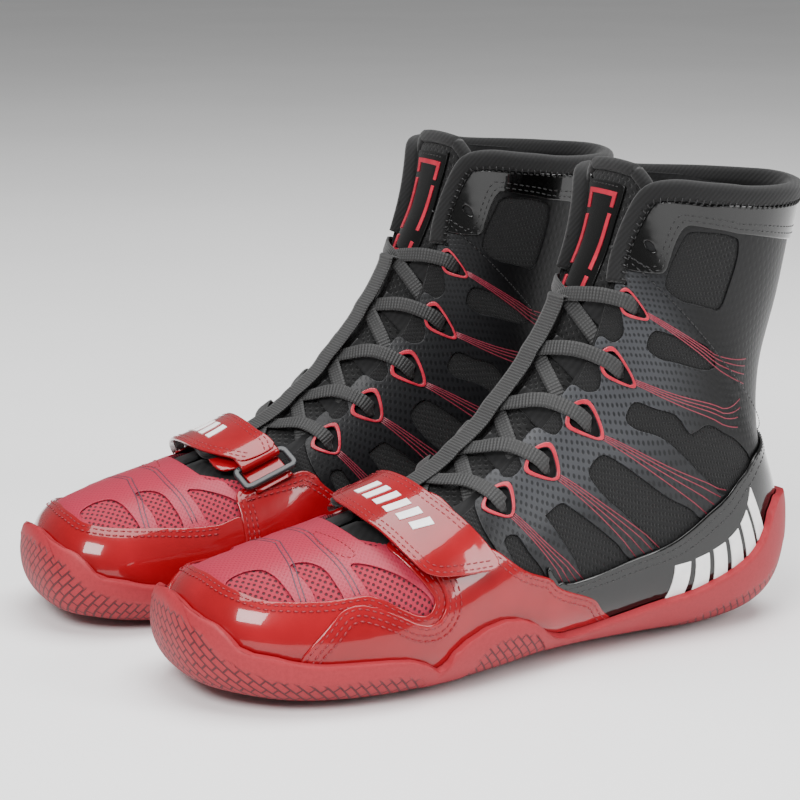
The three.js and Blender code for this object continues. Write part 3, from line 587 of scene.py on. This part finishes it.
for sideName, sign in (("lateral", 1), ("medial", -1)):
    turnOver = (lambda loop: loop) if sign > 0 else mirrored
    holes = [turnOver(w) for w in quarter["windows"]] + [turnOver(eyeletHole(t, v)) for t, v in quarter["eyelets"]]
    sewPiece(f"quarter_{sideName}_film", "quarterFilm", turnOver(edgeOut + filmBack), quarter["filmLevel"], holes, quarterFade,
             rim=.24, cell=(2.2, 2.2), nodes=[f"quarter_{sideName}"], slot="quarter_film")
    meshFront = [(5.2, .25), (5.9, .215), (7.0, .192), (8, .185), (9.1, .172), (10.4, .158), (12, .15), (13.2, .158), (14.0, .178)]
    sewPiece(f"quarter_{sideName}_mesh", "quarterMesh",
             turnOver(meshFront + [(14.6, .25), (14.9, .5), (15.3, .9), (15.3, .999), (13, .999), (9, .999),
             (8.9, .9), (7.8, .7), (6.5, .6), (5.2, .55)]), quarter["meshLevel"],
             [turnOver(eyeletHole(t, v, .03)) for t, v in quarter["eyelets"]],
             rim=.5, cell=(4, 4))
    # welded red rims round the lace holes
    bm = bmesh.new()
    for t, v in quarter["eyelets"]:
        addSmall(bm, turnOver(eyeletHole(t, v, .075)), (4.2, 5.0), .25, .9, [turnOver(eyeletHole(t, v, .005))], (9, 9))
    finishPiece(bm, f"eyelet_rims_{sideName}", "rim", nodes=[f"eyestay_{sideName}"], slot="eyestay_film")
    # printed lines that fan back from each rim
    fans = [((6.56, .305), [(7.34, .522), (7.24, .517), (7.14, .514), (7.05, .512)]),
            ((7.55, .305), [(8.52, .517), (8.41, .518), (8.28, .519), (8.14, .52)]),
            ((8.58, .30), [(10.13, .524), (9.95, .517), (9.75, .512), (9.53, .511)]),
            ((9.85, .285), [(11.92, .61), (11.74, .60), (11.45, .57), (11.25, .56)]),
            ((11.3, .28), [(12.75, .66), (12.62, .655), (12.47, .65), (12.3, .645)])]
    bm = bmesh.new()
    for start, ends in fans:
        for k, end in enumerate(ends):
            bend = ((start[0] + end[0]) / 2, (start[1] + end[1]) / 2 + .006)
            path = [(start[0] + .03 * (1.5 - k), sign * start[1], 4.26), (bend[0], sign * bend[1], 4.26), (end[0], sign * end[1], 4.26)]
            sweepBand(bm, *pathOnLast(path, 3), .55, .12, 4)
    finishPiece(bm, f"fan_lines_{sideName}", "line", slot="quarter_film", weighted=False)
print("quarters cut")

# collar: patent band, and a knit binding rolled over the top edge
collar = {"bandLevel": (4.35, 5.5), "bindingWide": 8.5, "bindingThick": 7.2}
bandIn = [(12.0, .178), (12.55, .196), (13.16, .212), (13.73, .226), (14.16, .25), (14.40, .33), (14.55, .42), (14.77, .52), (14.9, .64),
          (15.05, .82), (15.1, 1)]
bandLow = [(14.62, 1), (14.58, .85), (14.48, .665), (14.34, .534), (14.06, .395), (13.92, .360), (13.6, .345), (13.01, .337), (12.64, .324),
           (12.41, .291),
           (12.18, .249), (11.93, .195)]
whole = roundBack(bandIn) + [(t, 2 - v) for t, v in reversed(bandLow[1:])] + bandLow
punch = [[(12.98 + .12 * math.cos(a), c + s * .021 * math.sin(a)) for a in np.linspace(0, 2 * math.pi, 11)[:-1]] for c,
         s in ((.262, 1), (1.738, -1))]
sewPiece("collar_band", "patentBlack", whole, collar["bandLevel"], punch, rim=.45, cell=(2.4, 2.4), nodes=["collar_band"],
         slot="patent_black")
rollLine = [(11.35, .166), (12.0, .158), (12.7, .166), (13.4, .178), (13.95, .192), (14.35, .222), (14.62, .30), (14.78, .42), (14.95, .55),
            (15.15, .72), (15.3, .9), (15.34, 1)]
rollLine = roundBack(rollLine)
bm = bmesh.new()
spots, outs = pathOnLast([(t, v, 2.7) for t, v in rollLine], 2.2)
sweepBand(bm, spots, outs, collar["bindingWide"], collar["bindingThick"], 18, .72)
finishPiece(bm, "collar_binding", "binding", nodes=["collar_binding"], slot="binding_knit")
bm = bmesh.new()
stitchRow(bm, rollLine, 5.9, 3.0, (2.9, .7, .7), math.radians(78), .8 - collar["bindingWide"] / 2)
stitchRow(bm, rollLine, 5.6, 3.0, (1.9, .6, .6), 0, -collar["bindingWide"] / 2 - .6)
lowSeam = bandLow[:-1] + [(t, 2 - v) for t, v in bandLow[1:-1]][::-1]
for inset in (.014, .030):
    lower = [(t + (inset * 5 if v > .34 and v < 1.66 else 0), v - (inset if v < 1 else -inset) * (1 if (v < .4 or v > 1.6) else .15)) for t,
             v in lowSeam]
    stitchRow(bm, lower, 5.5, 3.0, (2.3, .65, .45))
print("collar sewn")
for row in (.012, .028):
    seam = [(t + .02, v + row) for t, v in foxTop]
    stitchRow(bm, roundBack(seam), 5.9, 3.0, (2.3, .6, .45))
finishPiece(bm, "seams_black", "threadBlack", slot="patent_black", weighted=False)
sewPiece("back_strip", "patentBlack", [(12.1, .955), (12.1, 1.045), (14.7, 1.045), (14.7, .955)], (4.2, 5.1), rim=.3, nodes=["back_strip"],
         slot="patent_black")

# red seams: pairs of lockstitch rows inside each patent edge
bm = bmesh.new()
inner = guardInner[:-1]
for shift in (1.9, 4.2):
    stitchRow(bm, inner, 5.2, 3.0, (2.5, .8, .5), 0, shift)
for shift in (-1.8, -4.4, -6.8):
    stitchRow(bm, lateralFront[1:-1], 6.15, 3.0, (2.5, .8, .5), 0, shift)
for shift in (-2.0, -4.4):
    stitchRow(bm, lateralRear[1:-1], 6.15, 3.0, (2.5, .8, .5), 0, shift)
for shift in (2.0, 4.4):
    stitchRow(bm, [(t, -v) for t, v in panelBack[:-1]], 6.15, 3.0, (2.5, .8, .5), 0, shift)
for shift in (-2.0, -4.4, -6.6):
    stitchRow(bm, medialFront, 6.15, 3.0, (2.5, .8, .5), 0, -shift)
leaf = [(3.74, .013), (3.82, .048), (3.94, .129), (3.97, .179), (3.85, .179), (3.71, .133), (3.65, .071)]
stitchRow(bm, leaf, 4.2, 2.6, (2.0, .6, .5), 0, 0, True)
finishPiece(bm, "seams_red", "threadRed", slot="patent_red", weighted=False)
bm = bmesh.new()
for path in ([(3.19, 0), (3.13, .06), (3.08, .15), (3.02, .23), (3.0, .31)], [(3.62, 0), (3.60, .10), (3.68, .22), (3.74, .32)]):
    for shift in (0, .07):
        for s in (1, -1):
            sweepBand(bm, *pathOnLast([(t + shift, s * v, 4.17) for t, v in path], 2.5), .6, .12, 4)
finishPiece(bm, "vamp_lines", "greyLine", slot="vamp_film", weighted=False)
print("seams sewn")

# outsole: a grid over the bottom and up the walls, its top edge high at the toe, waist and heel
sole = {"inner": 6.3, "outer": 9.75, "round": 1.5, "floor": .0002, "toeStart": 235, "bottom": 3.2}   # floor in metres, the rest in mm
soleTop = [(1.08, 0), (1.09, .10), (1.16, .20), (1.37, .29), (1.6, .345), (1.75, .40), (1.9, .46), (2.12, .486), (2.47, .498), (2.84, .507),
           (3.22, .514),
           (3.74, .516), (4.1, .522), (4.4, .535), (4.65, .57), (4.82, .618), (4.93, .60), (5.05, .55), (5.25, .523), (5.6, .51),
           (6.0, .513),
           (6.25, .53), (6.5, .575), (6.72, .66), (6.95, .715), (7.25, .715), (7.7, .695), (8.3, .672), (9.0, .656), (9.6, .655),
           (10.1, .664), (10.6, .68),
           (10.95, .72), (11.2, .80), (11.32, .9), (11.35, 1)]
soleGroove = [(.80, 0), (.80, .13), (.97, .272), (1.14, .337), (1.35, .40), (1.45, .46), (1.66, .514), (2.07, .549), (2.44, .575),
              (2.93, .587),
              (3.39, .589), (3.9, .582), (4.25, .585), (4.52, .61), (4.66, .66), (4.72, .8)]


def buildSole():
    steps = np.concatenate([[0, .08, .16, .26, .38, .5, .62, .74, .84, .92, .98, 1.03], np.arange(1.08, 1.9, .035),
                        np.arange(1.9, 11.0, .075),
                            np.arange(11.0, 11.34, .03), [11.345]])
    columns = 72
    share = np.linspace(0, 1, columns + 1)
    share = .5 - .5 * np.cos(share * np.pi) * (1 - .35 * np.sin(share * np.pi) ** 2)
    share[0], share[-1] = 0, 1
    bm = bmesh.new()
    bmesh.ops.create_grid(bm, x_segments=len(steps) - 1, y_segments=columns, size=1)
    cloth, blocks = bm.verts.layers.float_vector.new("cloth"), bm.verts.layers.float.new("tread")
    count = len(bm.verts)
    co = np.array([v.co for v in bm.verts])
    i = np.rint((co[:, 0] + 1) / 2 * (len(steps) - 1)).astype(int)
    j = np.rint((co[:, 1] + 1) / 2 * columns).astype(int)
    t = steps[i]
    topLine = np.array(soleTop)
    order = np.argsort(topLine[:, 0])
    low = np.where(t < 1.08, 0, np.interp(t, topLine[order, 0], topLine[order, 1]))
    v = low + (2 - 2 * low) * share[j]
    mid = onLast(t, v, np.full(count, 8.0))
    edge = onLast(*(curveThrough([(a * flat["t"], b * flat["v"]) for a, b in soleTop + [(a, 2 - b) for a, b in soleTop[::-1][1:]]], 1,
                        False).T
                    / np.array([[flat["t"]], [flat["v"]]])), np.array([8.0]))
    tree = KDTree(len(edge))
    for k, p in enumerate(edge):
        tree.insert(p, k)
    tree.balance()
    reach = np.array([tree.find(p)[2] for p in mid])
    # tread: woven blocks below the groove line at the toe, in the waist block, low on the heel, and all underneath
    a = 1 - np.abs((v % 2) - 1)
    below = a - np.interp(t, [p[0] for p in soleGroove], [p[1] for p in soleGroove])
    toe = np.clip(below / .012, 0, 1) * (t > .8) * (t < 4.68)
    toe = np.maximum(toe, (t <= .8) * 1.0)
    waistIn = np.interp(t, [5.3, 5.47, 5.64, 5.95, 6.24, 6.5, 6.82], [.8, .62, .572, .567, .575, .615, .8])
    waist = np.clip((a - waistIn) / .012, 0, 1) * (t > 5.3) * (t < 6.82)
    heel = np.clip((a - np.interp(t, [7.6, 8.3, 9, 9.6, 10.5, 11], [.86, .83, .76, .755, .80, .9])) / .012, 0, 1) * (t > 7.7) * (t < 10.6)
    under = (mid[:, 2] < sole["bottom"]) * 1.0
    tread = np.maximum.reduce([toe, waist, heel, under * (np.abs(t - 7.2) > .7)])
    roll = sole["round"]
    drop = np.where(reach < roll, roll - np.sqrt(np.maximum(roll ** 2 - (roll - reach) ** 2, 0)), 0)
    ridge = .5 * np.exp(-((below + .012) / .01) ** 2) * (t > .8) * (t < 4.6)
    outer = sole["outer"] - drop - np.where(tread > 0, .35 * tread, 0) * (reach > 2.5) + ridge * .3
    inner = np.full(count, sole["inner"])
    spotsOuter, spotsInner = (toWorld(onLast(t, v, h)) for h in (outer, inner))
    spotsOuter[:, 2] = np.maximum(spotsOuter[:, 2], sole["floor"])
    wallRun = np.arctan2(mid[:, 1] + 5, mid[:, 0] - sole["toeStart"]) * 45
    outward = np.where(mid[:, 1] > 0, 1, -1)
    u = np.where(mid[:, 0] > sole["toeStart"], wallRun, (sole["toeStart"] - mid[:, 0]) * outward + 70.7 * outward)
    w = np.where(mid[:, 2] < sole["bottom"], np.abs(mid[:, 1]) + 20, mid[:, 2])
    number = bm.verts.layers.int.new("number")
    for k, vert in enumerate(bm.verts):
        vert.co = spotsInner[k]
        vert[cloth], vert[blocks], vert[number] = (u[k], w[k], 0), tread[k], k
    more = bmesh.ops.extrude_face_region(bm, geom=bm.faces[:], use_keep_orig=True)
    fresh = {g for g in more["geom"] if isinstance(g, bmesh.types.BMVert)}
    for vert in fresh:
        vert.co = spotsOuter[vert[number]]
    closed = [f for f in bm.faces if len({vert in fresh for vert in f.verts}) == 2
              and (all(i[vert[number]] == 0 for vert in f.verts) or all(steps[i[vert[number]]] < 1.081 for vert in f.verts))]
    bmesh.ops.delete(bm, geom=closed, context="FACES_ONLY")
    bm.verts.layers.int.remove(number)
    bmesh.ops.remove_doubles(bm, verts=bm.verts[:], dist=2e-5)
    return bm


finishPiece(buildSole(), "outsole", "rubber", nodes=["outsole"], slot="outsole_rubber")
print("outsole moulded")


# lining and tongue
def shellGrid(ts, vs, level):
    bm = bmesh.new()
    bmesh.ops.create_grid(bm, x_segments=len(ts) - 1, y_segments=len(vs[0]) - 1, size=1)
    cols = len(vs[0]) - 1
    for vert in bm.verts:
        i, j = round((vert.co.x + 1) / 2 * (len(ts) - 1)), round((vert.co.y + 1) / 2 * cols)
        vert.co = (ts[i] * flat["t"], vs[i][j] * flat["v"], level[1])
    under = bmesh.ops.extrude_face_region(bm, geom=bm.faces[:], use_keep_orig=True)
    for g in under["geom"]:
        if isinstance(g, bmesh.types.BMVert):
            g.co.z = level[0]
    return bm


linerT = np.linspace(3.0, 15.3, 62)
front = np.interp(linerT, [3, 4.4, 5, 6.4, 9, 11, 12.5, 13.4, 14.2, 14.7, 15.3], [.012, .012, .16, .18, .165, .15, .15, .165, .2, .29, .9])
linerV = [np.linspace(f, 2 - f, 73) for f in front]
rows = [k for k, f in enumerate(front) if f < .9]
bm = shellGrid(linerT[rows], [linerV[k] for k in rows], (.2, 1.8))
for vert in bm.verts:
    a = abs(vert.co.y / flat["v"] - 1)
    cap = np.interp(a, [0, .3, .5, .65, .75, .84], [15.3, 15.15, 14.95, 14.75, 14.5, 14.0]) * flat["t"]
    vert.co.x = min(vert.co.x, cap)
finishPiece(wrapOnLast(bm), "lining", "lining", nodes=["lining"], slot="lining_textile")

tongue = {"half": .205, "level": (-4.6, -.6), "puff": 4, "cap": .0016}
tongueT = np.concatenate([np.linspace(4.6, 14.3, 95), [14.45, 14.6, 14.7, 14.76]])
halfAt = np.interp(tongueT, [4.6, 6, 9, 11, 12.8, 13.9, 14.4, 14.6, 14.76], [.2, .22, .215, .2, .2, .195, .17, .14, .09])
bm = shellGrid(tongueT, [np.linspace(-w, w, 25) for w in halfAt], tongue["level"])
for vert in bm.verts:
    t, v = vert.co.x / flat["t"], vert.co.y / flat["v"]
    w = np.interp(t, tongueT, halfAt)
    ends = min(1, (14.78 - t) / .12)
    thin = 1 - .75 * (abs(v) / w) ** 6
    thin *= max(.3, min(1, ends))
    middle = sum(tongue["level"]) / 2
    vert.co.z = middle + (vert.co.z - middle) * thin
wrapOnLast(bm)
bmesh.ops.recalc_face_normals(bm, faces=bm.faces[:])
mesh = bpy.data.meshes.new("tongue")
bm.to_mesh(mesh)
bm.free()
stuffed = bpy.data.objects.new("tongue", mesh)
bpy.context.scene.collection.objects.link(stuffed)


def applyModifiers(piece):
    graph = bpy.context.evaluated_depsgraph_get()
    made = bpy.data.meshes.new_from_object(piece.evaluated_get(graph))
    piece.modifiers.clear()
    piece.data = made


def puffOut(piece, voxel, pressure, frames, cap):
    # stuffed fabric: remesh, blow it up a little as cloth, and hold each point near its start
    remesh = piece.modifiers.new("remesh", "REMESH")
    remesh.mode, remesh.voxel_size = "VOXEL", voxel
    applyModifiers(piece)
    start = [v.co.copy() for v in piece.data.vertices]
    cloth = piece.modifiers.new("cloth", "CLOTH")
    cloth.settings.use_pressure, cloth.settings.uniform_pressure_force = True, pressure
    cloth.settings.effector_weights.gravity = 0
    cloth.settings.mass, cloth.settings.quality = .2, 5
    scene = bpy.context.scene
    for number in range(1, frames + 1):
        scene.frame_set(number)
    applyModifiers(piece)
    scene.frame_set(1)
    for v, p in zip(piece.data.vertices, start):
        move = v.co - p
        if move.length > cap:
            v.co = p + move * (cap / move.length)


puffOut(stuffed, .003, tongue["puff"], 14, tongue["cap"])
bm = bmesh.new()
bm.from_mesh(stuffed.data)
bpy.data.objects.remove(stuffed)
cloth = bm.verts.layers.float_vector.get("cloth") or bm.verts.layers.float_vector.new("cloth")
for vert in bm.verts:
    p = vert.co * 1000
    vert[cloth] = ((p.z - p.x) * .75, p.y - stand["y"], 0)
finishPiece(bm, "tongue", "tongueMesh", nodes=["tongue"], slot="tongue_textile", padded=.5, weighted=False)
# rolled edge of the tongue
bm = bmesh.new()
edge = [(t, w, -2.4) for t, w in zip(tongueT[30::4], halfAt[30::4])]
tip = [(14.74, .10, -2.4), (14.8, 0, -2.4), (14.74, -.10, -2.4)]
sweepBand(bm, *pathOnLast(edge + tip + [(t, -w, h) for t, w, h in edge[::-1]], 2.2), 6, 5.4, 14, .8)
finishPiece(bm, "tongue_roll", "binding", slot="tongue_textile")
print("tongue stuffed")

patch = {"level": (-.3, 1.0), "half": .088}
sewPiece("tongue_patch", "patentBlack", [(10.1, -.07), (10.1, .07), (10.3, patch["half"]), (13.8, patch["half"]), (14.05, patch["half"]),
                    (14.2, .07), (14.2, -.07),
         (14.05, -patch["half"]), (10.3, -patch["half"])], patch["level"], rim=.4, cell=(2, 2), nodes=["tongue_patch"], slot="patch_patent")
bm = bmesh.new()
high, low, wide, thin = 14.45, 11.15, .062, .016
brackets = [[(13.8, -wide), (high, -wide), (high, wide), (13.95, wide), (13.95, wide - thin), (high - .16, wide - thin),
             (high - .16, -wide + thin), (13.8, -wide + thin)],
            [(11.75, wide), (low, wide), (low, -wide), (11.65, -wide), (11.65, -wide + thin), (low + .16, -wide + thin),
             (low + .16, wide - thin), (11.75, wide - thin)],
            [(12.0, -wide), (13.6, -wide), (13.6, -wide + thin), (12.0, -wide + thin)],
            [(11.95, wide), (13.75, wide), (13.75, wide - thin), (11.95, wide - thin)]]
for bracket in brackets:
    addSmall(bm, sharp([(10.35 + (t - 11.15) * 1.08, v) for t, v in bracket]), (.7, 1.5), .18, 1.2)
finishPiece(bm, "tongue_badge", "rim", slot="patch_patent")
bm = bmesh.new()
stitchRow(bm, [(10.18, -.08), (10.18, .08)], 1.0, 2.6, (2.1, .7, .5))
stitchRow(bm, [(14.1, -.06), (14.1, .06)], 1.0, 2.6, (2.1, .7, .5))
finishPiece(bm, "patch_seams", "threadBlack", slot="patch_patent", weighted=False)

# laces: one strand down from each eyelet to the crossing, and on under the other edge
laceSize = {"wide": 6.6, "thick": 1.1}
bm = bmesh.new()
for k, (t, v) in enumerate(quarter["eyelets"]):
    for s in (1, -1):
        rise = .55 if s > 0 else -.55
        down = .95 if k else .8
        route = [(t + .05, s * (v + .004), 1.2), (t - .0, s * (v + .0), 3.2), (t - .05, s * (v - .03), 5.0),
                 (t - down * .35, s * .15, 5.0 + rise * .3),
                 (t - down * .75, s * .07, 3.5 + rise), (t - down, 0, 2.8 + rise), (t - down * 1.22, -s * .07, 1.6 + rise * .5),
                 (t - down * 1.4, -s * .15, 1.1), (t - down * 1.5, -s * .2, .6)]
        if k == 0:
            route = route[:6] + [(t - 1.1, -s * .06, 2.0)]
        sweepBand(bm, *pathOnLast(route, 1.5), laceSize["wide"], laceSize["thick"], 8, .5)
finishPiece(bm, "lace", "lace", nodes=["lace"], slot="lace_textile")

# webbing over the crossings, and short keepers on the tongue
bm = bmesh.new()
humps = [(10.4, 0, .2), (10.25, 0, .8)]
for t, v in quarter["eyelets"][::-1][:-1]:
    humps += [(t - .7, 0, 5.3), (t - 1.0, 0, 5.7), (t - 1.3, 0, 5.0)]
humps = [p for k, p in enumerate(humps) if k == 0 or p[0] < humps[k - 1][0] - .12] + [(5.3, 0, 4.6), (4.9, 0, 4.2)]
sweepBand(bm, *pathOnLast(humps, 1.5), 12.5, 1.1, 8, .4)
finishPiece(bm, "tongue_webbing", "webbing", nodes=["tongue_webbing"], slot="webbing")
bm = bmesh.new()
for k in range(4):
    t = (quarter["eyelets"][k][0] + quarter["eyelets"][k + 1][0]) / 2 - .05
    for s in (1, -1):
        sweepBand(bm, *pathOnLast([(t, s * .03, .2), (t, s * .09, .5), (t, s * .155, .8), (t, s * .2, 1.2)], 1.5), 9.5, .9, 8, .4)
finishPiece(bm, "lace_keepers", "lining", slot="webbing")
print("laces threaded")

# strap: fixed lower run, hook and loop, and the flap that folds round the ring
strap = {"low": (6.3, 7.3), "loops": (7.4, 8.7), "hooks": (8.8, 10.2), "top": (10.25, 11.3), "fold": 1.5}
flapFront = [(4.86, -.19), (4.66, -.155), (4.42, -.10), (4.31, -.05), (4.27, 0), (4.29, .09), (4.40, .175), (4.52, .25), (4.69, .318),
             (4.85, .343),
             (5.05, .357), (5.55, .380), (5.80, .391), (5.93, .389), (5.95, .374)]
flapRear = [(5.70, .264), (5.50, .171), (5.43, .11), (5.38, .033), (5.36, -.03), (5.38, -.10), (5.46, -.15), (5.42, -.19)]


flapLoop = flapFront + flapRear
sewPiece("strap_flap", "patentRed", flapLoop, strap["top"], rim=.42, cell=(2, 2), body="strap", nodes=["strap_flap"], slot="strap_patent")
sewPiece("strap_base", "patentRed", [(4.46, -.165), (4.45, 0), (4.5, .12), (4.75, .25), (5.0, .32), (5.5, .345), (5.78, .35), (5.55, .25),
                    (5.3, .12), (5.24, 0),
         (5.3, -.165)], strap["low"], rim=.4, cell=(2, 2), nodes=["strap_base"], slot="strap_patent")
bigger = [(4.40, -.1), (4.36, 0), (4.385, .09), (4.49, .175), (4.60, .245), (4.76, .31), (4.95, .340), (5.2, .355), (5.6, .374),
          (5.86, .382), (5.62, .264),
          (5.42, .171), (5.34, .1), (5.3, -.03), (5.3, -.1)]
sewPiece("hook_patch", "hook", bigger, strap["hooks"], rim=.5, cell=(3, 3), body="strap", nodes=["hook_patch"], slot="hook_and_loop")
sewPiece("loop_patch", "hook", bigger, strap["loops"], rim=.5, cell=(3, 3), nodes=["loop_patch"], slot="hook_and_loop")
bm = bmesh.new()
for shift in (-1.8, -4.2):
    stitchRow(bm, flapFront[:-2], 11.3, 3.0, (2.4, .75, .5), 0, -shift)
    stitchRow(bm, flapRear, 11.3, 3.0, (2.4, .75, .5), 0, -shift)
finishPiece(bm, "strap_seams", "threadRed", body="strap", slot="strap_patent", weighted=False)
# generic raised marks: slanted bars
bm = bmesh.new()
for k in range(6):
    v = -.03 + k * .043
    f, r = np.interp(v, [-.05, 0, .1, .2, .25], [4.62, 4.60, 4.66, 4.86, 5.0]), np.interp(v, [-.05, 0, .1, .2, .25],
                        [5.02, 5.02, 5.08, 5.2, 5.28])
    bar = [(f, v + .0), (r, v + .012), (r, v + .036), (f, v + .024)]
    addSmall(bm, sharp(bar), (11.2, 11.75), .2)
finishPiece(bm, "strap_marks", "print", body="strap", slot="strap_patent")
bm = bmesh.new()
for k in range(6):
    f = k / 6
    start, step = 8.28 + 2.05 * f, .25
    lowV, highV = .700 + .022 * math.sin(math.pi * f), .565 + .028 * f
    bar = [(start, lowV), (start + .33, highV), (start + .33 + step, highV + .004), (start + step, lowV + .0)]
    for s in (1, -1):
        addSmall(bm, sharp([(t, v * s) for t, v in bar]), (5.8, 6.5), .22)
finishPiece(bm, "heel_marks", "print", slot="patent_black")
print("strap and marks made")

# the ring, its tab and the fold of the strap, in the ring's own frame, mm
ringPlace = {"middle": (186.062, -28.488, 68.413), "along": (.94368, -.06861, -.32367), "up": (.23564, .82607, .51193),
             "out": (.23225, -.55937, .79572), "drop": 10.6}
middle, along, up, out = (np.array(ringPlace[k]) for k in ("middle", "along", "up", "out"))


def ringSpots(points):
    return np.array([middle + along * s + up * u + out * n for s, u, n in points])


def arc(su, radius, lo, hi, count):
    return [(su[0] + radius * math.cos(a), su[1] + radius * math.sin(a)) for a in np.linspace(lo, hi, count)]


longHalf, r = 12.9, 2.2
loop = (arc((longHalf - r, -r), r, math.pi / 2, 0, 6) + arc((longHalf - r, -ringPlace["drop"] + r), r, 0, -math.pi / 2, 6)
        + arc((-longHalf + r, -ringPlace["drop"] + r), r, -math.pi / 2, -math.pi, 6) + arc((-longHalf + r, -r), r, math.pi, math.pi / 2, 6))
loop = loop + loop[:2]
bm = bmesh.new()
spots = ringSpots([(s, u, 0) for s, u in loop])
sweepBand(bm, spots, np.tile(out, (len(spots), 1)), 2.9, 2.1, 12, .6)
finishPiece(bm, "ring", "ring", body="ring", nodes=["ring"], slot="ring_plastic")
foldR = strap["fold"] + .5
fold = [(u, foldR) for u in (7.5, 5, 2.5)] + arc((0, 0), foldR, math.pi / 2, math.radians(212), 12)
bm = bmesh.new()
spots = ringSpots([(0, u, n) for u, n in fold])
turned = np.array([[0, 0, 1]] * 3 + [[0, math.cos(a), math.sin(a)] for a in np.linspace(math.pi / 2, math.radians(212), 12)])
outs = np.array([up * a[1] + out * a[2] for a in turned])
sweepBand(bm, spots, outs, 20.4, 1.0, 10, .35)
finishPiece(bm, "strap_fold", "patentRed", body="strap", slot="strap_patent")
bm = bmesh.new()
tab = [(1.5, -2.6), (-2, -2.75), (-5, -2.9), (-8, -2.95), (-11, -2.9), (-14, -2.6)]
spots = ringSpots([(0, u, n) for u, n in tab])
sweepBand(bm, spots, np.tile(out, (len(spots), 1)), 19.4, 1.0, 10, .35)
finishPiece(bm, "ring_tab", "patentRed", nodes=["ring_tab"], slot="strap_patent")

for side in ("left", "right"):
    for node, look in (("midsole", "foam"), ("lasting_board", "board"), ("sock_liner", "sock"), ("toe_puff", "stiff"),
                       ("heel_counter", "stiff")):
        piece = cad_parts[f"{side}_{node}"]
        piece.data.materials.clear()
        piece.data.materials.append(looks[look])

# floor, light and camera
floorMaterial, tree, shader = newMaterial("studio_floor", Roughness=.55, **{"Specular IOR Level": .25})
spot = addNode(tree, "TexCoord")
grain = addNode(tree, "TexNoise", {"Scale": 3, "Detail": 3}, {"Vector": spot.outputs["Object"]})
tint = rampNode(tree, grain.outputs["Fac"], [(.3, "#f2f2f2"), (.7, "#f6f6f6")])
tree.links.new(tint.outputs[0], shader.inputs["Base Color"])
bm = bmesh.new()
bmesh.ops.create_grid(bm, x_segments=2, y_segments=2, size=6)
mesh = bpy.data.meshes.new("studio_floor")
bm.to_mesh(mesh)
bm.free()
mesh.materials.append(floorMaterial)
floor = bpy.data.objects.new("studio_floor", mesh)
bpy.context.scene.collection.objects.link(floor)

world = bpy.data.worlds.new("studio")
bpy.context.scene.world = world
world.use_nodes = True
world.node_tree.nodes["Background"].inputs["Color"].default_value = (1, 1, 1, 1)
world.node_tree.nodes["Background"].inputs["Strength"].default_value = .28


def softLight(name, spot, aim, size, power, colour=(1, 1, 1)):
    light = bpy.data.lights.new(name, "AREA")
    light.shape, light.size, light.size_y, light.energy, light.color = "RECTANGLE", size[0], size[1], power, colour
    lamp = bpy.data.objects.new(name, light)
    lamp.location = spot
    lamp.rotation_euler = (Vector(aim) - Vector(spot)).to_track_quat("-Z", "Y").to_euler()
    bpy.context.scene.collection.objects.link(lamp)


softLight("key_softbox", (1.1, .9, 1.3), (0, 0, .08), (.9, .7), 42)
softLight("top_softbox", (-.1, .1, 1.7), (0, 0, .1), (1.4, 1.4), 46)
softLight("side_softbox", (-.9, 1.2, .8), (0, 0, .1), (.5, .9), 16)

camera = bpy.data.cameras.new("camera")
camera.sensor_width, camera.lens = 36, 106.5
eye = bpy.data.objects.new("camera", camera)
eye.location = (.4745, .9115, .3305)
eye.rotation_euler = (Vector((.0033, .0025, .0979)) - eye.location).to_track_quat("-Z", "Y").to_euler()
bpy.context.scene.collection.objects.link(eye)
bpy.context.scene.camera = eye
print("studio set")
